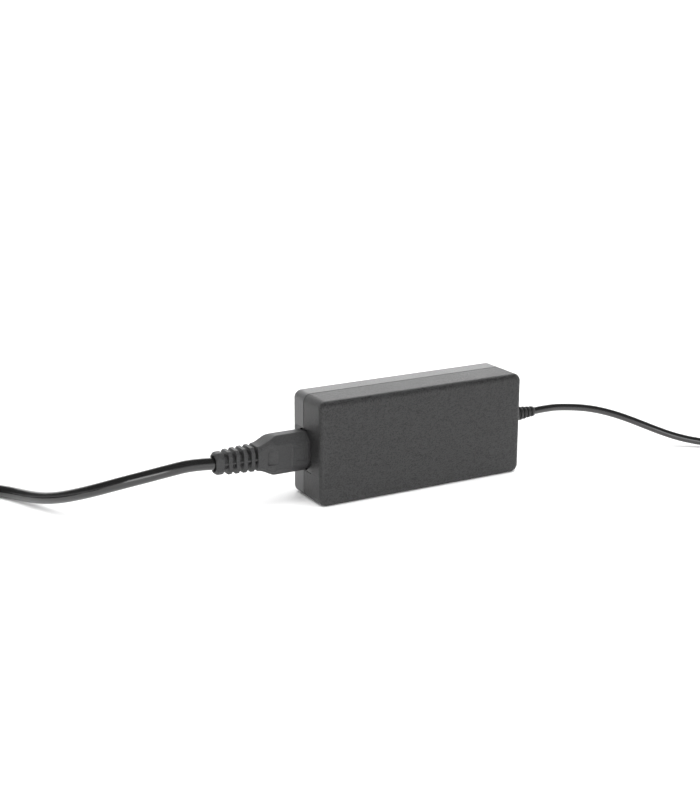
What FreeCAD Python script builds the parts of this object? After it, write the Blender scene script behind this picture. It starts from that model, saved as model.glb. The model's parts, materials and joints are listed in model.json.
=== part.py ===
import FreeCAD, Part
import math
import os
from FreeCAD import Vector

# Laptop power adapter: a two-shell brick with its boards inside, a mains lead that pulls out
# of the inlet, and a fixed output lead with a barrel plug. Millimetres, Z up.
# X runs along the brick from the mains inlet to the output lead, Y from the large front face
# to the large rear face. The brick stands on a long narrow side, at Z = 0.

os.makedirs("parts", exist_ok=True)

# Case
CASE_L = 133.0
CASE_H = 60.0
CASE_T = 34.6
REAR_DEPTH = 13.5  # rear shell, from its large face to the seam
WALL = 2.2
CORNER_R = 4.5  # outline corners, seen along Y
FACE_R = 3.4  # round between a large face and the narrow sides
SEAM_GROOVE = 0.5
TONGUE_DEPTH = 1.6
TONGUE_WALL = 1.05
FIT = 0.1  # clearance between moulded pieces
LABEL_L, LABEL_H, LABEL_T = 92.0, 42.0, 0.2
LABEL_R = 2.0

# Mains inlet and the connector that plugs into it
AXIS_Z = 28.6  # height of both leads
OPENING_H, OPENING_W, OPENING_R = 24.3, 18.7, 0.8  # hole in the case for the inlet's rim
RIM_H, RIM_W, RIM_CUT = 23.1, 16.9, 5.0  # eight-sided mouth that the connector goes into
RIM_SETBACK = 0.15
LOBE_R = 4.9  # one lobe of the cloverleaf socket
LOBE_BACK, LOBE_SIDE, LOBE_EARTH = 2.6, 4.7, 3.4  # lobe centres from the axis
SOCKET_DEPTH = 15.5
SOCKET_FLOOR = 3.0
FLANGE_H, FLANGE_W, FLANGE_T = 28.0, 21.0, 2.0
INLET_H, INLET_W = 23.0, 19.2
PIN_R = 1.2
PIN_SETBACK = 4.3  # pin tip behind the socket's mouth
PIN_TAIL = 4.8
NOSE_GAP = 0.35
CONTACT_R = 1.9
CONTACT_BORE = 1.25
CONTACT_L = 12.0
INSERT_BASE_H, INSERT_BASE_W, INSERT_BASE_L = 16.0, 10.6, 9.0
BODY_H, BODY_W, BODY_CUT = 22.5, 16.3, 4.9  # overmould at its shoulders
NECK_H, NECK_W, NECK_CUT = 14.0, 13.6, 2.2  # overmould where the strain relief starts
TAIL_H, TAIL_W, TAIL_CUT = 12.2, 10.4, 2.6  # end of the strain relief
SHOULDER_L = 21.0  # case face to where the overmould starts to narrow
NECK_L = 30.6  # case face to the neck
CONNECTOR_L = 54.9  # case face to the end of the strain relief
RELIEF_SLOTS, SLOT_PITCH, SLOT_W = 5, 4.35, 2.1
MAINS_CORD_D = 7.0

# Output lead
OUTPUT_CORD_D = 4.6
RELIEF_L = 24.3
RELIEF_R0, RELIEF_R1 = 5.8, 3.0
RELIEF_NECK_R = 5.0
RELIEF_FLANGE_R, RELIEF_FLANGE_T = 7.0, 2.0
RELIEF_RINGS, RING_PITCH, RING_W = 7, 2.9, 1.3

# Output plug, a 7.4 mm barrel with a 5.0 mm bore and a centre pin
BARREL_R = 3.7
BARREL_BORE = 2.5
BARREL_WALL = 0.35
BARREL_L = 12.0  # from the moulding's face to the tip, tip ring included
TIP_RING_L = 1.8
BARREL_ROOT = 8.0  # length held in the moulding
BARREL_ROOT_R = BARREL_R - 0.2
SLEEVE_WALL = 0.3
CENTRE_PIN_R = 0.35
CENTRE_PIN_L = 9.0
PLUG_R = 5.75
PLUG_L = 22.0
PLUG_COLLAR_R = 5.3
PLUG_NECK_R = 4.5
PLUG_RELIEF_L = 15.0

# Angled wall plug with two pins and side earth contacts
DISC_R, DISC_H = 18.5, 26.0
DISC_DOME = 7.0
DISC_FACE_R = 16.6
FACE_PLATE_T = 3.0
WALL_PIN_R, WALL_PIN_L, WALL_PIN_PITCH = 2.4, 19.0, 19.0
WALL_PIN_ROOT, WALL_PIN_ROOT_R = 14.0, 2.0
CLIP_W, CLIP_T, CLIP_L = 5.0, 0.9, 13.0
EARTH_HOLE_R, EARTH_HOLE_AT, EARTH_HOLE_L = 2.5, 10.0, 15.0
NECK_BLOCK_L = 27.0
WALL_RELIEF_L = 20.0

# Cords. Points that each cord's centre line goes round, chosen by hand.
TIE_T, TIE_W = 0.8, 3.5
MAINS_ROUTE = [
    (-121.4, 3.8, 28.6), (-133.4, 3.8, 30.0), (-146.8, 4.4, 28.6), (-159.6, 7.5, 26.1),
    (-171.4, 13.5, 22.7), (-181.4, 21.6, 18.4), (-189.4, 31.6, 14.0), (-195.8, 43.0, 9.8),
    (-201.0, 55.4, 6.6), (-205.8, 68.3, 4.7), (-211.2, 81.0, 3.8), (-220.0, 91.9, 3.6),
    (-231.6, 99.7, 3.8), (-245.0, 103.8, 4.3), (-259.0, 103.8, 4.3),
]
OUTPUT_ROUTE = [
    (90.8, 3.8, 28.6), (103.0, 3.8, 29.2), (116.5, 3.4, 27.8), (130.5, 1.6, 25.7),
    (144.0, -2.2, 22.2), (157.0, -8.0, 17.2), (169.0, -15.4, 11.6), (180.4, -23.6, 6.8),
    (192.0, -32.2, 3.9), (203.6, -39.6, 3.1), (214.6, -46.5, 3.1),
]
OUTPUT_END_ROUTE = [
    (277.2, -12.7, 13.0), (277.2, 0.3, 17.3), (268.6, 11.6, 14.2), (254.5, 15.4, 11.2),
    (240.0, 10.4, 12.4), (231.5, -1.6, 15.75), (231.5, -13.5, 15.75),
]
PLUG_CLEARANCE = 0.76  # between the coil's turns and the wall plug's strain relief
MAINS_COIL = {"outer": 41.0, "inner": 29.3, "exit_angle": 195.0}
MAINS_COIL["lead"] = PLUG_CLEARANCE + math.sqrt(
    (MAINS_COIL["outer"] + MAINS_CORD_D / 2) ** 2 - (MAINS_COIL["outer"] - MAINS_CORD_D / 2 - 1.2) ** 2
)
OUTPUT_COIL = {"outer": 31.5, "inner": 16.6, "exit_angle": 0.0, "lead": 17.0}

# Circuit board and what stands on it
BOARD_T = 1.6
BOARD_BACK = 3.1  # gap between the board and the rear shell
BOARD_START = 21.3  # inner end face to the board's edge, at the inlet
BOARD_END = 4.3
BOARD_MARGIN = 1.8
POST_R, POST_PIN_R, POST_INSET = 2.2, 1.2, 3.0
SPREADER_T, FILM_T = 0.8, 0.3
LEAD_GAP = 0.15  # small air gap that keeps neighbours apart

# Places that follow from the sizes above
X_IN, X_OUT = -CASE_L / 2, CASE_L / 2
Y_FRONT, Y_REAR = -CASE_T / 2, CASE_T / 2
SEAM_Y = Y_REAR - REAR_DEPTH
AXIS_Y = SEAM_Y
SOCKET_MOUTH = X_IN + WALL
SOCKET_BOTTOM = SOCKET_MOUTH + SOCKET_DEPTH
BOARD_REAR = Y_REAR - WALL - BOARD_BACK
BOARD_FRONT = BOARD_REAR - BOARD_T
BOARD_X0, BOARD_X1 = X_IN + WALL + BOARD_START, X_OUT - WALL - BOARD_END
BOARD_Z0, BOARD_Z1 = WALL + BOARD_MARGIN, CASE_H - WALL - BOARD_MARGIN
LOBES = {
    "line": (AXIS_Y - LOBE_BACK, AXIS_Z + LOBE_SIDE),
    "neutral": (AXIS_Y - LOBE_BACK, AXIS_Z - LOBE_SIDE),
    "earth": (AXIS_Y + LOBE_EARTH, AXIS_Z),
}

makers = []


def node(maker):
    """Marks a function that makes one sub-part. The sub-part takes the function's name."""
    makers.append(maker)
    return maker


def box(x0, x1, y0, y1, z0, z1):
    return Part.makeBox(x1 - x0, y1 - y0, z1 - z0, Vector(x0, y0, z0))


def rod(radius, start, end):
    start, end = Vector(*start), Vector(*end)
    return Part.makeCylinder(radius, (end - start).Length, start, end - start)


def tube(outer, inner, start, end):
    return rod(outer, start, end).cut(rod(inner, start, end))


def cone(radius0, radius1, start, end):
    start, end = Vector(*start), Vector(*end)
    return Part.makeCone(radius0, radius1, (end - start).Length, start, end - start)


def joined(shapes):
    whole = shapes[0]
    for shape in shapes[1:]:
        whole = whole.fuse(shape)
    return whole.removeSplitter()


def without(shape, cutters):
    for cutter in cutters:
        shape = shape.cut(cutter)
    return shape


def rounded(shape, radius, wanted):
    edges = [edge for edge in shape.Edges if wanted(edge)]
    return shape.makeFillet(radius, edges)


def runs_along(axis):
    """Picks the edges that are parallel to one axis, 0, 1 or 2."""

    def wanted(edge):
        if len(edge.Vertexes) < 2:
            return False
        step = edge.Vertexes[1].Point - edge.Vertexes[0].Point
        return all(abs(step[other]) < 1e-6 for other in range(3) if other != axis)

    return wanted


def lies_at(axis, place):
    """Picks the edges that lie in one plane across an axis."""

    def wanted(edge):
        bounds = edge.BoundBox
        low = (bounds.XMin, bounds.YMin, bounds.ZMin)[axis]
        high = (bounds.XMax, bounds.YMax, bounds.ZMax)[axis]
        return abs(low - place) < 1e-4 and abs(high - place) < 1e-4

    return wanted


def plate(inset, y0, y1, z_inset=None):
    """A plate with the case's outline, drawn in by an inset, from y0 to y1."""
    z_inset = inset if z_inset is None else z_inset
    blank = box(X_IN + inset, X_OUT - inset, y0, y1, z_inset, CASE_H - z_inset)
    return rounded(blank, max(CORNER_R - inset, 0.6), runs_along(1))


def octagon(x, height, width, cut):
    """The outline of the connector at one place along its axis."""
    half_h, half_w = height / 2, width / 2
    corners = [
        (half_w - cut, half_h), (half_w, half_h - cut), (half_w, cut - half_h),
        (half_w - cut, -half_h), (cut - half_w, -half_h), (-half_w, cut - half_h),
        (-half_w, half_h - cut), (cut - half_w, half_h),
    ]
    points = [Vector(x, AXIS_Y + y, AXIS_Z + z) for y, z in corners]
    return Part.makePolygon(points + points[:1])


def octagon_bar(x0, x1, height, width, cut):
    return Part.Face(octagon(x0, height, width, cut)).extrude(Vector(x1 - x0, 0, 0))


def cloverleaf(x0, x1, shrink):
    """The three-lobed shape of the socket, or of the nose that goes into it."""
    lobes = [rod(LOBE_R - shrink, (x0, y, z), (x1, y, z)) for y, z in LOBES.values()]
    web = box(x0, x1, AXIS_Y - LOBE_BACK, AXIS_Y + LOBE_EARTH / 2,
              AXIS_Z - LOBE_SIDE / 2, AXIS_Z + LOBE_SIDE / 2)
    return joined(lobes + [web])


def cord_path(points, name):
    """Straight runs joined by tangent arcs, each as large as its two runs allow."""
    corners = [Vector(*point) for point in points]
    edges, start, radii = [], corners[0], []
    for before, corner, after in zip(corners, corners[1:], corners[2:]):
        back, ahead = before - corner, after - corner
        shorter = min(back.Length, ahead.Length)
        turn = math.pi - back.getAngle(ahead)
        reach = 0.45 * shorter
        radii.append(reach / math.tan(turn / 2))
        back.normalize()
        ahead.normalize()
        middle = back + ahead
        middle.normalize()
        to_centre = radii[-1] / math.cos(turn / 2)
        arc_in, arc_out = corner + back * reach, corner + ahead * reach
        arc_mid = corner + middle * (to_centre - radii[-1])
        edges.append(Part.LineSegment(start, arc_in).toShape())
        edges.append(Part.Arc(arc_in, arc_mid, arc_out).toShape())
        start = arc_out
    edges.append(Part.LineSegment(start, corners[-1]).toShape())
    print(name, "arc radii", " ".join(f"{radius:.0f}" for radius in radii))
    return Part.Wire(edges)


def cord_tube(points, diameter, name):
    path = cord_path(points, name)
    start = Vector(*points[0])
    section = Part.Wire(Part.Circle(start, path.Edges[0].tangentAt(0), diameter / 2).toShape())
    solid = path.makePipeShell([section], True, False)
    expected = math.pi * diameter**2 / 4 * path.Length
    print(f"{name} length {path.Length:.0f} mm, volume is {solid.Volume / expected:.4f} of section x length")
    return solid


def coil_facts(route, coil, diameter):
    """Where a put-away coil lies. It takes the cord in on a tangent and turns to the left."""
    end, before = Vector(*route[-1]), Vector(*route[-2])
    ahead = end - before
    ahead.normalize()
    left = Vector(-ahead.y, ahead.x, 0)
    touch = end + ahead * coil["lead"]
    centre = touch + left * coil["outer"]
    exit_at = math.radians(coil["exit_angle"])
    leave = centre + Vector(math.cos(exit_at), math.sin(exit_at), 0) * coil["outer"]
    leave.z = TIE_T + 1.5 * diameter
    heading = Vector(-math.sin(exit_at), math.cos(exit_at), 0)
    return {"centre": centre, "touch": touch, "leave": leave, "heading": heading}


def coil_solid(route, coil, diameter, exit_end):
    """Two layers of turns as one ring, with the cord's two tails straight out of it."""
    facts = coil_facts(route, coil, diameter)
    centre = facts["centre"]
    low, high = TIE_T, TIE_T + 2 * diameter
    ring = tube(coil["outer"] + diameter / 2, coil["inner"] - diameter / 2,
                (centre.x, centre.y, low), (centre.x, centre.y, high))
    tail_in = rod(diameter / 2, route[-1], tuple(facts["touch"]))
    tail_out = rod(diameter / 2, exit_end[1], exit_end[0])
    return joined([ring, tail_in, tail_out])


def coil_tie(route, coil, diameter, angle):
    """A flat strap round the coil's bundle of turns."""
    centre = coil_facts(route, coil, diameter)["centre"]
    inner, outer = coil["inner"] - diameter / 2, coil["outer"] + diameter / 2
    top = TIE_T + 2 * diameter
    strap = box(inner - TIE_T, outer + TIE_T, -TIE_W / 2, TIE_W / 2, 0, top + TIE_T)
    hole = tube(outer, inner, (0, 0, TIE_T), (0, 0, top))
    strap = strap.cut(hole)
    strap.rotate(Vector(0, 0, 0), Vector(0, 0, 1), angle)
    strap.translate(Vector(centre.x, centre.y, 0))
    return strap


# Case shells


def inlet_bar(x0, x1, height, width, radius):
    """A round-cornered bar on the inlet's axis."""
    bar = box(x0, x1, AXIS_Y - width / 2, AXIS_Y + width / 2, AXIS_Z - height / 2, AXIS_Z + height / 2)
    return rounded(bar, radius, runs_along(0))


def inlet_opening():
    return inlet_bar(X_IN - 1, X_IN + WALL + 1, OPENING_H, OPENING_W, OPENING_R)


def output_opening():
    return rod(RELIEF_NECK_R + FIT, (X_OUT - WALL - 1, AXIS_Y, AXIS_Z), (X_OUT + 1, AXIS_Y, AXIS_Z))


def post_places():
    return [
        (x, z)
        for x in (BOARD_X0 + POST_INSET, BOARD_X1 - POST_INSET)
        for z in (BOARD_Z0 + POST_INSET, BOARD_Z1 - POST_INSET)
    ]


@node
def front_shell():
    outer = rounded(plate(0, Y_FRONT, SEAM_Y), FACE_R, lies_at(1, Y_FRONT))
    hollow = plate(WALL, Y_FRONT + WALL, SEAM_Y + 1)
    rebate = plate(TONGUE_WALL, SEAM_Y - TONGUE_DEPTH - FIT, SEAM_Y + 1)
    groove = plate(-1, SEAM_Y - SEAM_GROOVE, SEAM_Y + 1).cut(
        plate(SEAM_GROOVE, SEAM_Y - SEAM_GROOVE - 1, SEAM_Y + 2)
    )
    shell = without(outer, [hollow, rebate, groove])
    inner = Y_FRONT + WALL
    behind_flange = SOCKET_MOUTH + FLANGE_T + FIT
    inlet_rib = box(behind_flange, behind_flange + 1.5, inner - 0.5, AXIS_Y - FLANGE_W / 2 + 0.5,
                    AXIS_Z - FLANGE_H / 3, AXIS_Z + FLANGE_H / 3)
    before_flange = X_OUT - WALL - RELIEF_FLANGE_T - FIT
    relief_rib = box(before_flange - 1.8, before_flange, inner - 0.5, AXIS_Y - RELIEF_FLANGE_R + 1.2,
                     AXIS_Z - RELIEF_FLANGE_R, AXIS_Z + RELIEF_FLANGE_R)
    return without(joined([shell, inlet_rib, relief_rib]), [inlet_opening(), output_opening()])


@node
def rear_shell():
    outer = rounded(plate(0, SEAM_Y, Y_REAR), FACE_R, lies_at(1, Y_REAR))
    hollow = plate(WALL, SEAM_Y - 1, Y_REAR - WALL)
    tongue = plate(TONGUE_WALL + FIT, SEAM_Y - TONGUE_DEPTH, SEAM_Y + 1).cut(
        plate(WALL, SEAM_Y - TONGUE_DEPTH - 1, SEAM_Y + 2)
    )
    inner = Y_REAR - WALL
    behind_flange = SOCKET_MOUTH + FLANGE_T + FIT
    inlet_rib = box(behind_flange, behind_flange + 1.5, AXIS_Y + FLANGE_W / 2 - 0.6, inner + 0.5,
                    AXIS_Z - FLANGE_H / 3, AXIS_Z + FLANGE_H / 3)
    before_flange = X_OUT - WALL - RELIEF_FLANGE_T - FIT
    relief_rib = box(before_flange - 1.8, before_flange, AXIS_Y + RELIEF_FLANGE_R - 1.2, inner + 0.5,
                     AXIS_Z - RELIEF_FLANGE_R, AXIS_Z + RELIEF_FLANGE_R)
    posts = []
    for x, z in post_places():
        posts.append(rod(POST_R, (x, inner + 0.5, z), (x, BOARD_REAR, z)))
        posts.append(rod(POST_PIN_R, (x, BOARD_REAR, z), (x, BOARD_FRONT - 0.6, z)))
    shell = joined([outer.cut(hollow), tongue, inlet_rib, relief_rib] + posts)
    return without(shell, [inlet_opening(), output_opening(), label_pocket()])


def label_blank(extra, y0, y1):
    middle = CASE_H / 2
    blank = box(-LABEL_L / 2 - extra, LABEL_L / 2 + extra, y0, y1,
                middle - LABEL_H / 2 - extra, middle + LABEL_H / 2 + extra)
    return rounded(blank, LABEL_R + extra, runs_along(1))


def label_pocket():
    return label_blank(FIT, Y_REAR - LABEL_T, Y_REAR + 1)


@node
def rating_label():
    return label_blank(0, Y_REAR - LABEL_T, Y_REAR)


# Mains inlet


@node
def inlet_body():
    back = SOCKET_BOTTOM + SOCKET_FLOOR
    rim = inlet_bar(X_IN + RIM_SETBACK, SOCKET_MOUTH, OPENING_H - 2 * FIT, OPENING_W - 2 * FIT, OPENING_R - FIT)
    rim = rim.cut(octagon_bar(X_IN - 1, SOCKET_MOUTH, RIM_H, RIM_W, RIM_CUT))
    flange = inlet_bar(SOCKET_MOUTH, SOCKET_MOUTH + FLANGE_T, FLANGE_H, FLANGE_W, 2.0)
    housing = inlet_bar(SOCKET_MOUTH, back, INLET_H, INLET_W, 1.5)
    socket = cloverleaf(SOCKET_MOUTH - 1, SOCKET_BOTTOM, 0)
    holes = [rod(PIN_R, (SOCKET_BOTTOM - 1, y, z), (back + 1, y, z)) for y, z in LOBES.values()]
    return without(joined([rim, flange, housing]), [socket] + holes)


def inlet_pin(name):
    y, z = LOBES[name]
    tip, end = SOCKET_MOUTH + PIN_SETBACK, SOCKET_BOTTOM + SOCKET_FLOOR + PIN_TAIL
    pin = rod(PIN_R, (tip, y, z), (end, y, z))
    return rounded(pin, PIN_R * 0.45, lies_at(0, tip))


@node
def inlet_line_pin():
    return inlet_pin("line")


@node
def inlet_neutral_pin():
    return inlet_pin("neutral")


@node
def inlet_earth_pin():
    return inlet_pin("earth")


@node
def inlet_wires():
    start = SOCKET_BOTTOM + SOCKET_FLOOR + PIN_TAIL
    wires = []
    for name, (y, z) in LOBES.items():
        route = [(start, y, z), (start + 4, y, z), (start + 4, BOARD_FRONT, z)]
        wires.append(cord_tube(route, 1.3, f"{name} wire"))
    return Part.makeCompound(wires)


# Mains connector


def nose_tip():
    return SOCKET_BOTTOM - NOSE_GAP


@node
def connector_body():
    front = SOCKET_MOUTH - 0.3
    shoulder, neck, tail = X_IN - SHOULDER_L, X_IN - NECK_L, X_IN - CONNECTOR_L
    block = octagon_bar(shoulder, front, BODY_H, BODY_W, BODY_CUT)
    sections = []
    steps = 6
    for step in range(steps + 1):
        share = step / steps
        blend = share * share * (3 - 2 * share)
        sections.append(octagon(
            neck + (shoulder - neck) * share,
            NECK_H + (BODY_H - NECK_H) * blend,
            NECK_W + (BODY_W - NECK_W) * blend,
            NECK_CUT + (BODY_CUT - NECK_CUT) * blend,
        ))
    flare = Part.makeLoft(sections, True, True)
    relief = Part.makeLoft(
        [octagon(tail, TAIL_H, TAIL_W, TAIL_CUT), octagon(neck, NECK_H, NECK_W, NECK_CUT)], True, True
    )
    core = rod(MAINS_CORD_D / 2 + 0.9, (tail - 1, AXIS_Y, AXIS_Z), (neck + 1, AXIS_Y, AXIS_Z))
    slots = []
    for index in range(RELIEF_SLOTS):
        start = neck - SLOT_W - index * SLOT_PITCH
        slot = box(start, start + SLOT_W, AXIS_Y - BODY_W, AXIS_Y + BODY_W,
                   AXIS_Z - BODY_H, AXIS_Z + BODY_H)
        webs = box(start, start + SLOT_W, AXIS_Y - BODY_W, AXIS_Y + BODY_W, AXIS_Z - 0.5, AXIS_Z + 0.5)
        slots.append(without(slot, [core, webs]))
    body = joined([block, flare, without(relief, slots)])
    return without(body, [insert_base()] + contact_holes(CONTACT_R, SOCKET_MOUTH - 0.3 - INSERT_BASE_L))


def insert_base():
    front = SOCKET_MOUTH - 0.3
    return box(front - INSERT_BASE_L, front, AXIS_Y - INSERT_BASE_W / 2, AXIS_Y + INSERT_BASE_W / 2,
               AXIS_Z - INSERT_BASE_H / 2, AXIS_Z + INSERT_BASE_H / 2)


def contact_holes(radius, start):
    tip = nose_tip() + 1
    return [rod(radius, (start, y, z), (tip, y, z)) for y, z in LOBES.values()]


def contact_span():
    end = nose_tip() - 1.2
    return end - CONTACT_L, end


@node
def connector_insert():
    front = SOCKET_MOUTH - 0.3
    nose = cloverleaf(front, nose_tip(), NOSE_GAP)
    nose = nose.makeFillet(0.4, [edge for edge in nose.Edges if lies_at(0, nose_tip())(edge)])
    insert = joined([insert_base(), nose])
    start, end = contact_span()
    bores = [rod(CONTACT_R, (start, y, z), (end, y, z)) for y, z in LOBES.values()]
    return without(insert, bores + contact_holes(PIN_R + 0.35, end - 1))


@node
def connector_contacts():
    start, end = contact_span()
    sleeves = []
    for y, z in LOBES.values():
        bore_end = start + 1.5
        sleeve = rod(CONTACT_R, (start, y, z), (end, y, z))
        sleeves.append(sleeve.cut(rod(CONTACT_BORE, (bore_end, y, z), (end + 1, y, z))))
    return Part.makeCompound(sleeves)


@node
def mains_cord():
    return cord_tube(MAINS_ROUTE, MAINS_CORD_D, "mains cord")


def mains_exit():
    facts = coil_facts(MAINS_ROUTE, MAINS_COIL, MAINS_CORD_D)
    end = facts["leave"] + facts["heading"] * MAINS_COIL["lead"]
    return tuple(end), tuple(facts["leave"])


@node
def mains_cord_coil():
    return coil_solid(MAINS_ROUTE, MAINS_COIL, MAINS_CORD_D, mains_exit())


@node
def mains_cord_tie():
    return coil_tie(MAINS_ROUTE, MAINS_COIL, MAINS_CORD_D, 140)


# Wall plug, drawn with its pins along +Z and its cord along +Y, then put at the coil's end


def put_plug(shape):
    facts = coil_facts(MAINS_ROUTE, MAINS_COIL, MAINS_CORD_D)
    reach = NECK_BLOCK_L + WALL_RELIEF_L
    end, heading = Vector(*mains_exit()[0]), facts["heading"]
    turn = math.degrees(math.atan2(-heading.y, -heading.x)) - 90
    shape.rotate(Vector(0, 0, 0), Vector(0, 0, 1), turn)
    shape.translate(Vector(end.x, end.y, 0) + heading * reach)
    return shape


def wall_pin_places():
    return [-WALL_PIN_PITCH / 2, WALL_PIN_PITCH / 2]


def clip_blank(extra):
    clips = []
    for side in (-1, 1):
        y0, y1 = DISC_R - 1.2 - CLIP_T, DISC_R + (2 if extra else -1.2)
        low, high = sorted((side * y0, side * y1))
        clips.append(box(-CLIP_W / 2 - extra, CLIP_W / 2 + extra, low, high, DISC_H - CLIP_L, DISC_H + extra))
    return clips


@node
def wall_plug_body():
    cord_z = TIE_T + 1.5 * MAINS_CORD_D
    disc = rod(DISC_R, (0, 0, 0), (0, 0, DISC_H))
    disc = rounded(disc, DISC_DOME, lies_at(2, 0))
    disc = rounded(disc, 1.0, lies_at(2, DISC_H))
    neck = cone(9.2, 6.6, (0, DISC_R - 8, cord_z), (0, NECK_BLOCK_L, cord_z))
    relief = cone(6.4, MAINS_CORD_D / 2 + 1.2, (0, NECK_BLOCK_L, cord_z), (0, NECK_BLOCK_L + WALL_RELIEF_L, cord_z))
    rings = []
    for index in range(4):
        y = NECK_BLOCK_L + 2.0 + index * 4.4
        rings.append(tube(9, MAINS_CORD_D / 2 + 0.8, (0, y, cord_z), (0, y + 2.0, cord_z)))
    body = joined([disc, neck, without(relief, rings)])
    face = rod(DISC_FACE_R, (0, 0, DISC_H - FACE_PLATE_T), (0, 0, DISC_H + 1))
    roots = [rod(WALL_PIN_ROOT_R, (x, 0, DISC_H - WALL_PIN_ROOT), (x, 0, DISC_H)) for x in wall_pin_places()]
    socket = rod(EARTH_HOLE_R + 0.8, (0, -EARTH_HOLE_AT, DISC_H - EARTH_HOLE_L), (0, -EARTH_HOLE_AT, DISC_H))
    return put_plug(without(body, [face, socket] + roots + clip_blank(FIT)))


@node
def wall_plug_face():
    face = rod(DISC_FACE_R, (0, 0, DISC_H - FACE_PLATE_T), (0, 0, DISC_H))
    holes = [rod(WALL_PIN_ROOT_R, (x, 0, 0), (x, 0, DISC_H + 1)) for x in wall_pin_places()]
    socket = rod(EARTH_HOLE_R, (0, -EARTH_HOLE_AT, 0), (0, -EARTH_HOLE_AT, DISC_H + 1))
    return put_plug(without(face, holes + [socket] + clip_blank(FIT)))


@node
def wall_plug_pins():
    pins = []
    for x in wall_pin_places():
        pin = rod(WALL_PIN_R, (x, 0, DISC_H), (x, 0, DISC_H + WALL_PIN_L))
        pin = rounded(pin, WALL_PIN_R * 0.7, lies_at(2, DISC_H + WALL_PIN_L))
        root = rod(WALL_PIN_ROOT_R, (x, 0, DISC_H - WALL_PIN_ROOT), (x, 0, DISC_H))
        pins.append(put_plug(joined([pin, root])))
    return Part.makeCompound(pins)


@node
def wall_plug_earth_clips():
    clips = [rounded(clip, 0.3, runs_along(2)) for clip in clip_blank(0)]
    return Part.makeCompound([put_plug(clip) for clip in clips])


@node
def wall_plug_earth_socket():
    low, high = DISC_H - EARTH_HOLE_L, DISC_H - FACE_PLATE_T
    return put_plug(tube(EARTH_HOLE_R + 0.8, EARTH_HOLE_R, (0, -EARTH_HOLE_AT, low), (0, -EARTH_HOLE_AT, high)))


# Output lead


@node
def dc_strain_relief():
    wall_in = X_OUT - WALL
    flange = rod(RELIEF_FLANGE_R, (wall_in - RELIEF_FLANGE_T, AXIS_Y, AXIS_Z), (wall_in, AXIS_Y, AXIS_Z))
    neck = rod(RELIEF_NECK_R, (wall_in, AXIS_Y, AXIS_Z), (X_OUT, AXIS_Y, AXIS_Z))
    boot = cone(RELIEF_R0, RELIEF_R1, (X_OUT, AXIS_Y, AXIS_Z), (X_OUT + RELIEF_L, AXIS_Y, AXIS_Z))
    grooves = []
    for index in range(RELIEF_RINGS):
        start = X_OUT + RELIEF_L - 2.0 - RING_W - index * RING_PITCH
        share = (start - X_OUT) / RELIEF_L
        core = (RELIEF_R0 + (RELIEF_R1 - RELIEF_R0) * share) * 0.78
        grooves.append(tube(RELIEF_R0 + 1, core, (start, AXIS_Y, AXIS_Z), (start + RING_W, AXIS_Y, AXIS_Z)))
    return joined([flange, neck, without(boot, grooves)])


@node
def output_wires():
    start, wires = X_OUT - WALL - RELIEF_FLANGE_T, []
    for side in (-1, 1):
        z = AXIS_Z + side * 1.9
        route = [(start, AXIS_Y, z), (start - 4.6, AXIS_Y, z), (start - 4.6, BOARD_FRONT, z)]
        wires.append(cord_tube(route, 1.8, "output wire"))
    return Part.makeCompound(wires)


@node
def dc_cord():
    return cord_tube(OUTPUT_ROUTE, OUTPUT_CORD_D, "output cord")


@node
def dc_cord_coil():
    end, beyond = Vector(*OUTPUT_END_ROUTE[0]), Vector(*OUTPUT_END_ROUTE[1])
    back = end - beyond
    back.normalize()
    start = end + back * OUTPUT_COIL["lead"]
    return coil_solid(OUTPUT_ROUTE, OUTPUT_COIL, OUTPUT_CORD_D, (tuple(end), tuple(start)))


@node
def dc_cord_tie():
    return coil_tie(OUTPUT_ROUTE, OUTPUT_COIL, OUTPUT_CORD_D, 300)


@node
def dc_cord_end():
    return cord_tube(OUTPUT_END_ROUTE, OUTPUT_CORD_D, "output cord end")


# Output plug, drawn with its moulding's face at the origin and its barrel along -Y


def put_barrel_plug(shape):
    x, y, z = OUTPUT_END_ROUTE[-1]
    shape.translate(Vector(x, y - PLUG_L - PLUG_RELIEF_L, z))
    return shape


def turned(profile):
    """A solid of revolution about the Y axis, from (y, radius) points."""
    points = [Vector(radius, y, 0) for y, radius in profile]
    face = Part.Face(Part.makePolygon(points + points[:1]))
    return face.revolve(Vector(0, 0, 0), Vector(0, 1, 0), 360)


@node
def dc_plug_body():
    end = PLUG_L + PLUG_RELIEF_L
    tip_r = OUTPUT_CORD_D / 2 + 0.7
    outline = [
        (0, 0), (0, PLUG_R - 0.6), (0.6, PLUG_R), (8, PLUG_R), (PLUG_L * 0.6, PLUG_R - 0.35),
        (PLUG_L * 0.85, PLUG_NECK_R + 0.2), (PLUG_L * 0.93, PLUG_NECK_R), (PLUG_L, PLUG_COLLAR_R),
        (PLUG_L + 2.2, PLUG_COLLAR_R), (PLUG_L + 3.4, PLUG_NECK_R - 0.2), (end, tip_r), (end, 0),
    ]
    body = turned(outline)
    grooves = []
    for index in range(4):
        y = PLUG_L + 4.4 + index * 2.6
        grooves.append(tube(PLUG_R, OUTPUT_CORD_D / 2 + 0.35, (0, y, 0), (0, y + 1.2, 0)))
    seat = rod(BARREL_ROOT_R, (0, -1, 0), (0, BARREL_ROOT, 0))
    return put_barrel_plug(without(body, grooves + [seat]))


@node
def dc_plug_barrel():
    front = rod(BARREL_R, (0, TIP_RING_L - BARREL_L, 0), (0, 0, 0))
    root = rod(BARREL_ROOT_R, (0, 0, 0), (0, BARREL_ROOT, 0))
    bore = rod(BARREL_R - BARREL_WALL, (0, -BARREL_L, 0), (0, BARREL_ROOT + 1, 0))
    return put_barrel_plug(joined([front, root]).cut(bore))


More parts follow.
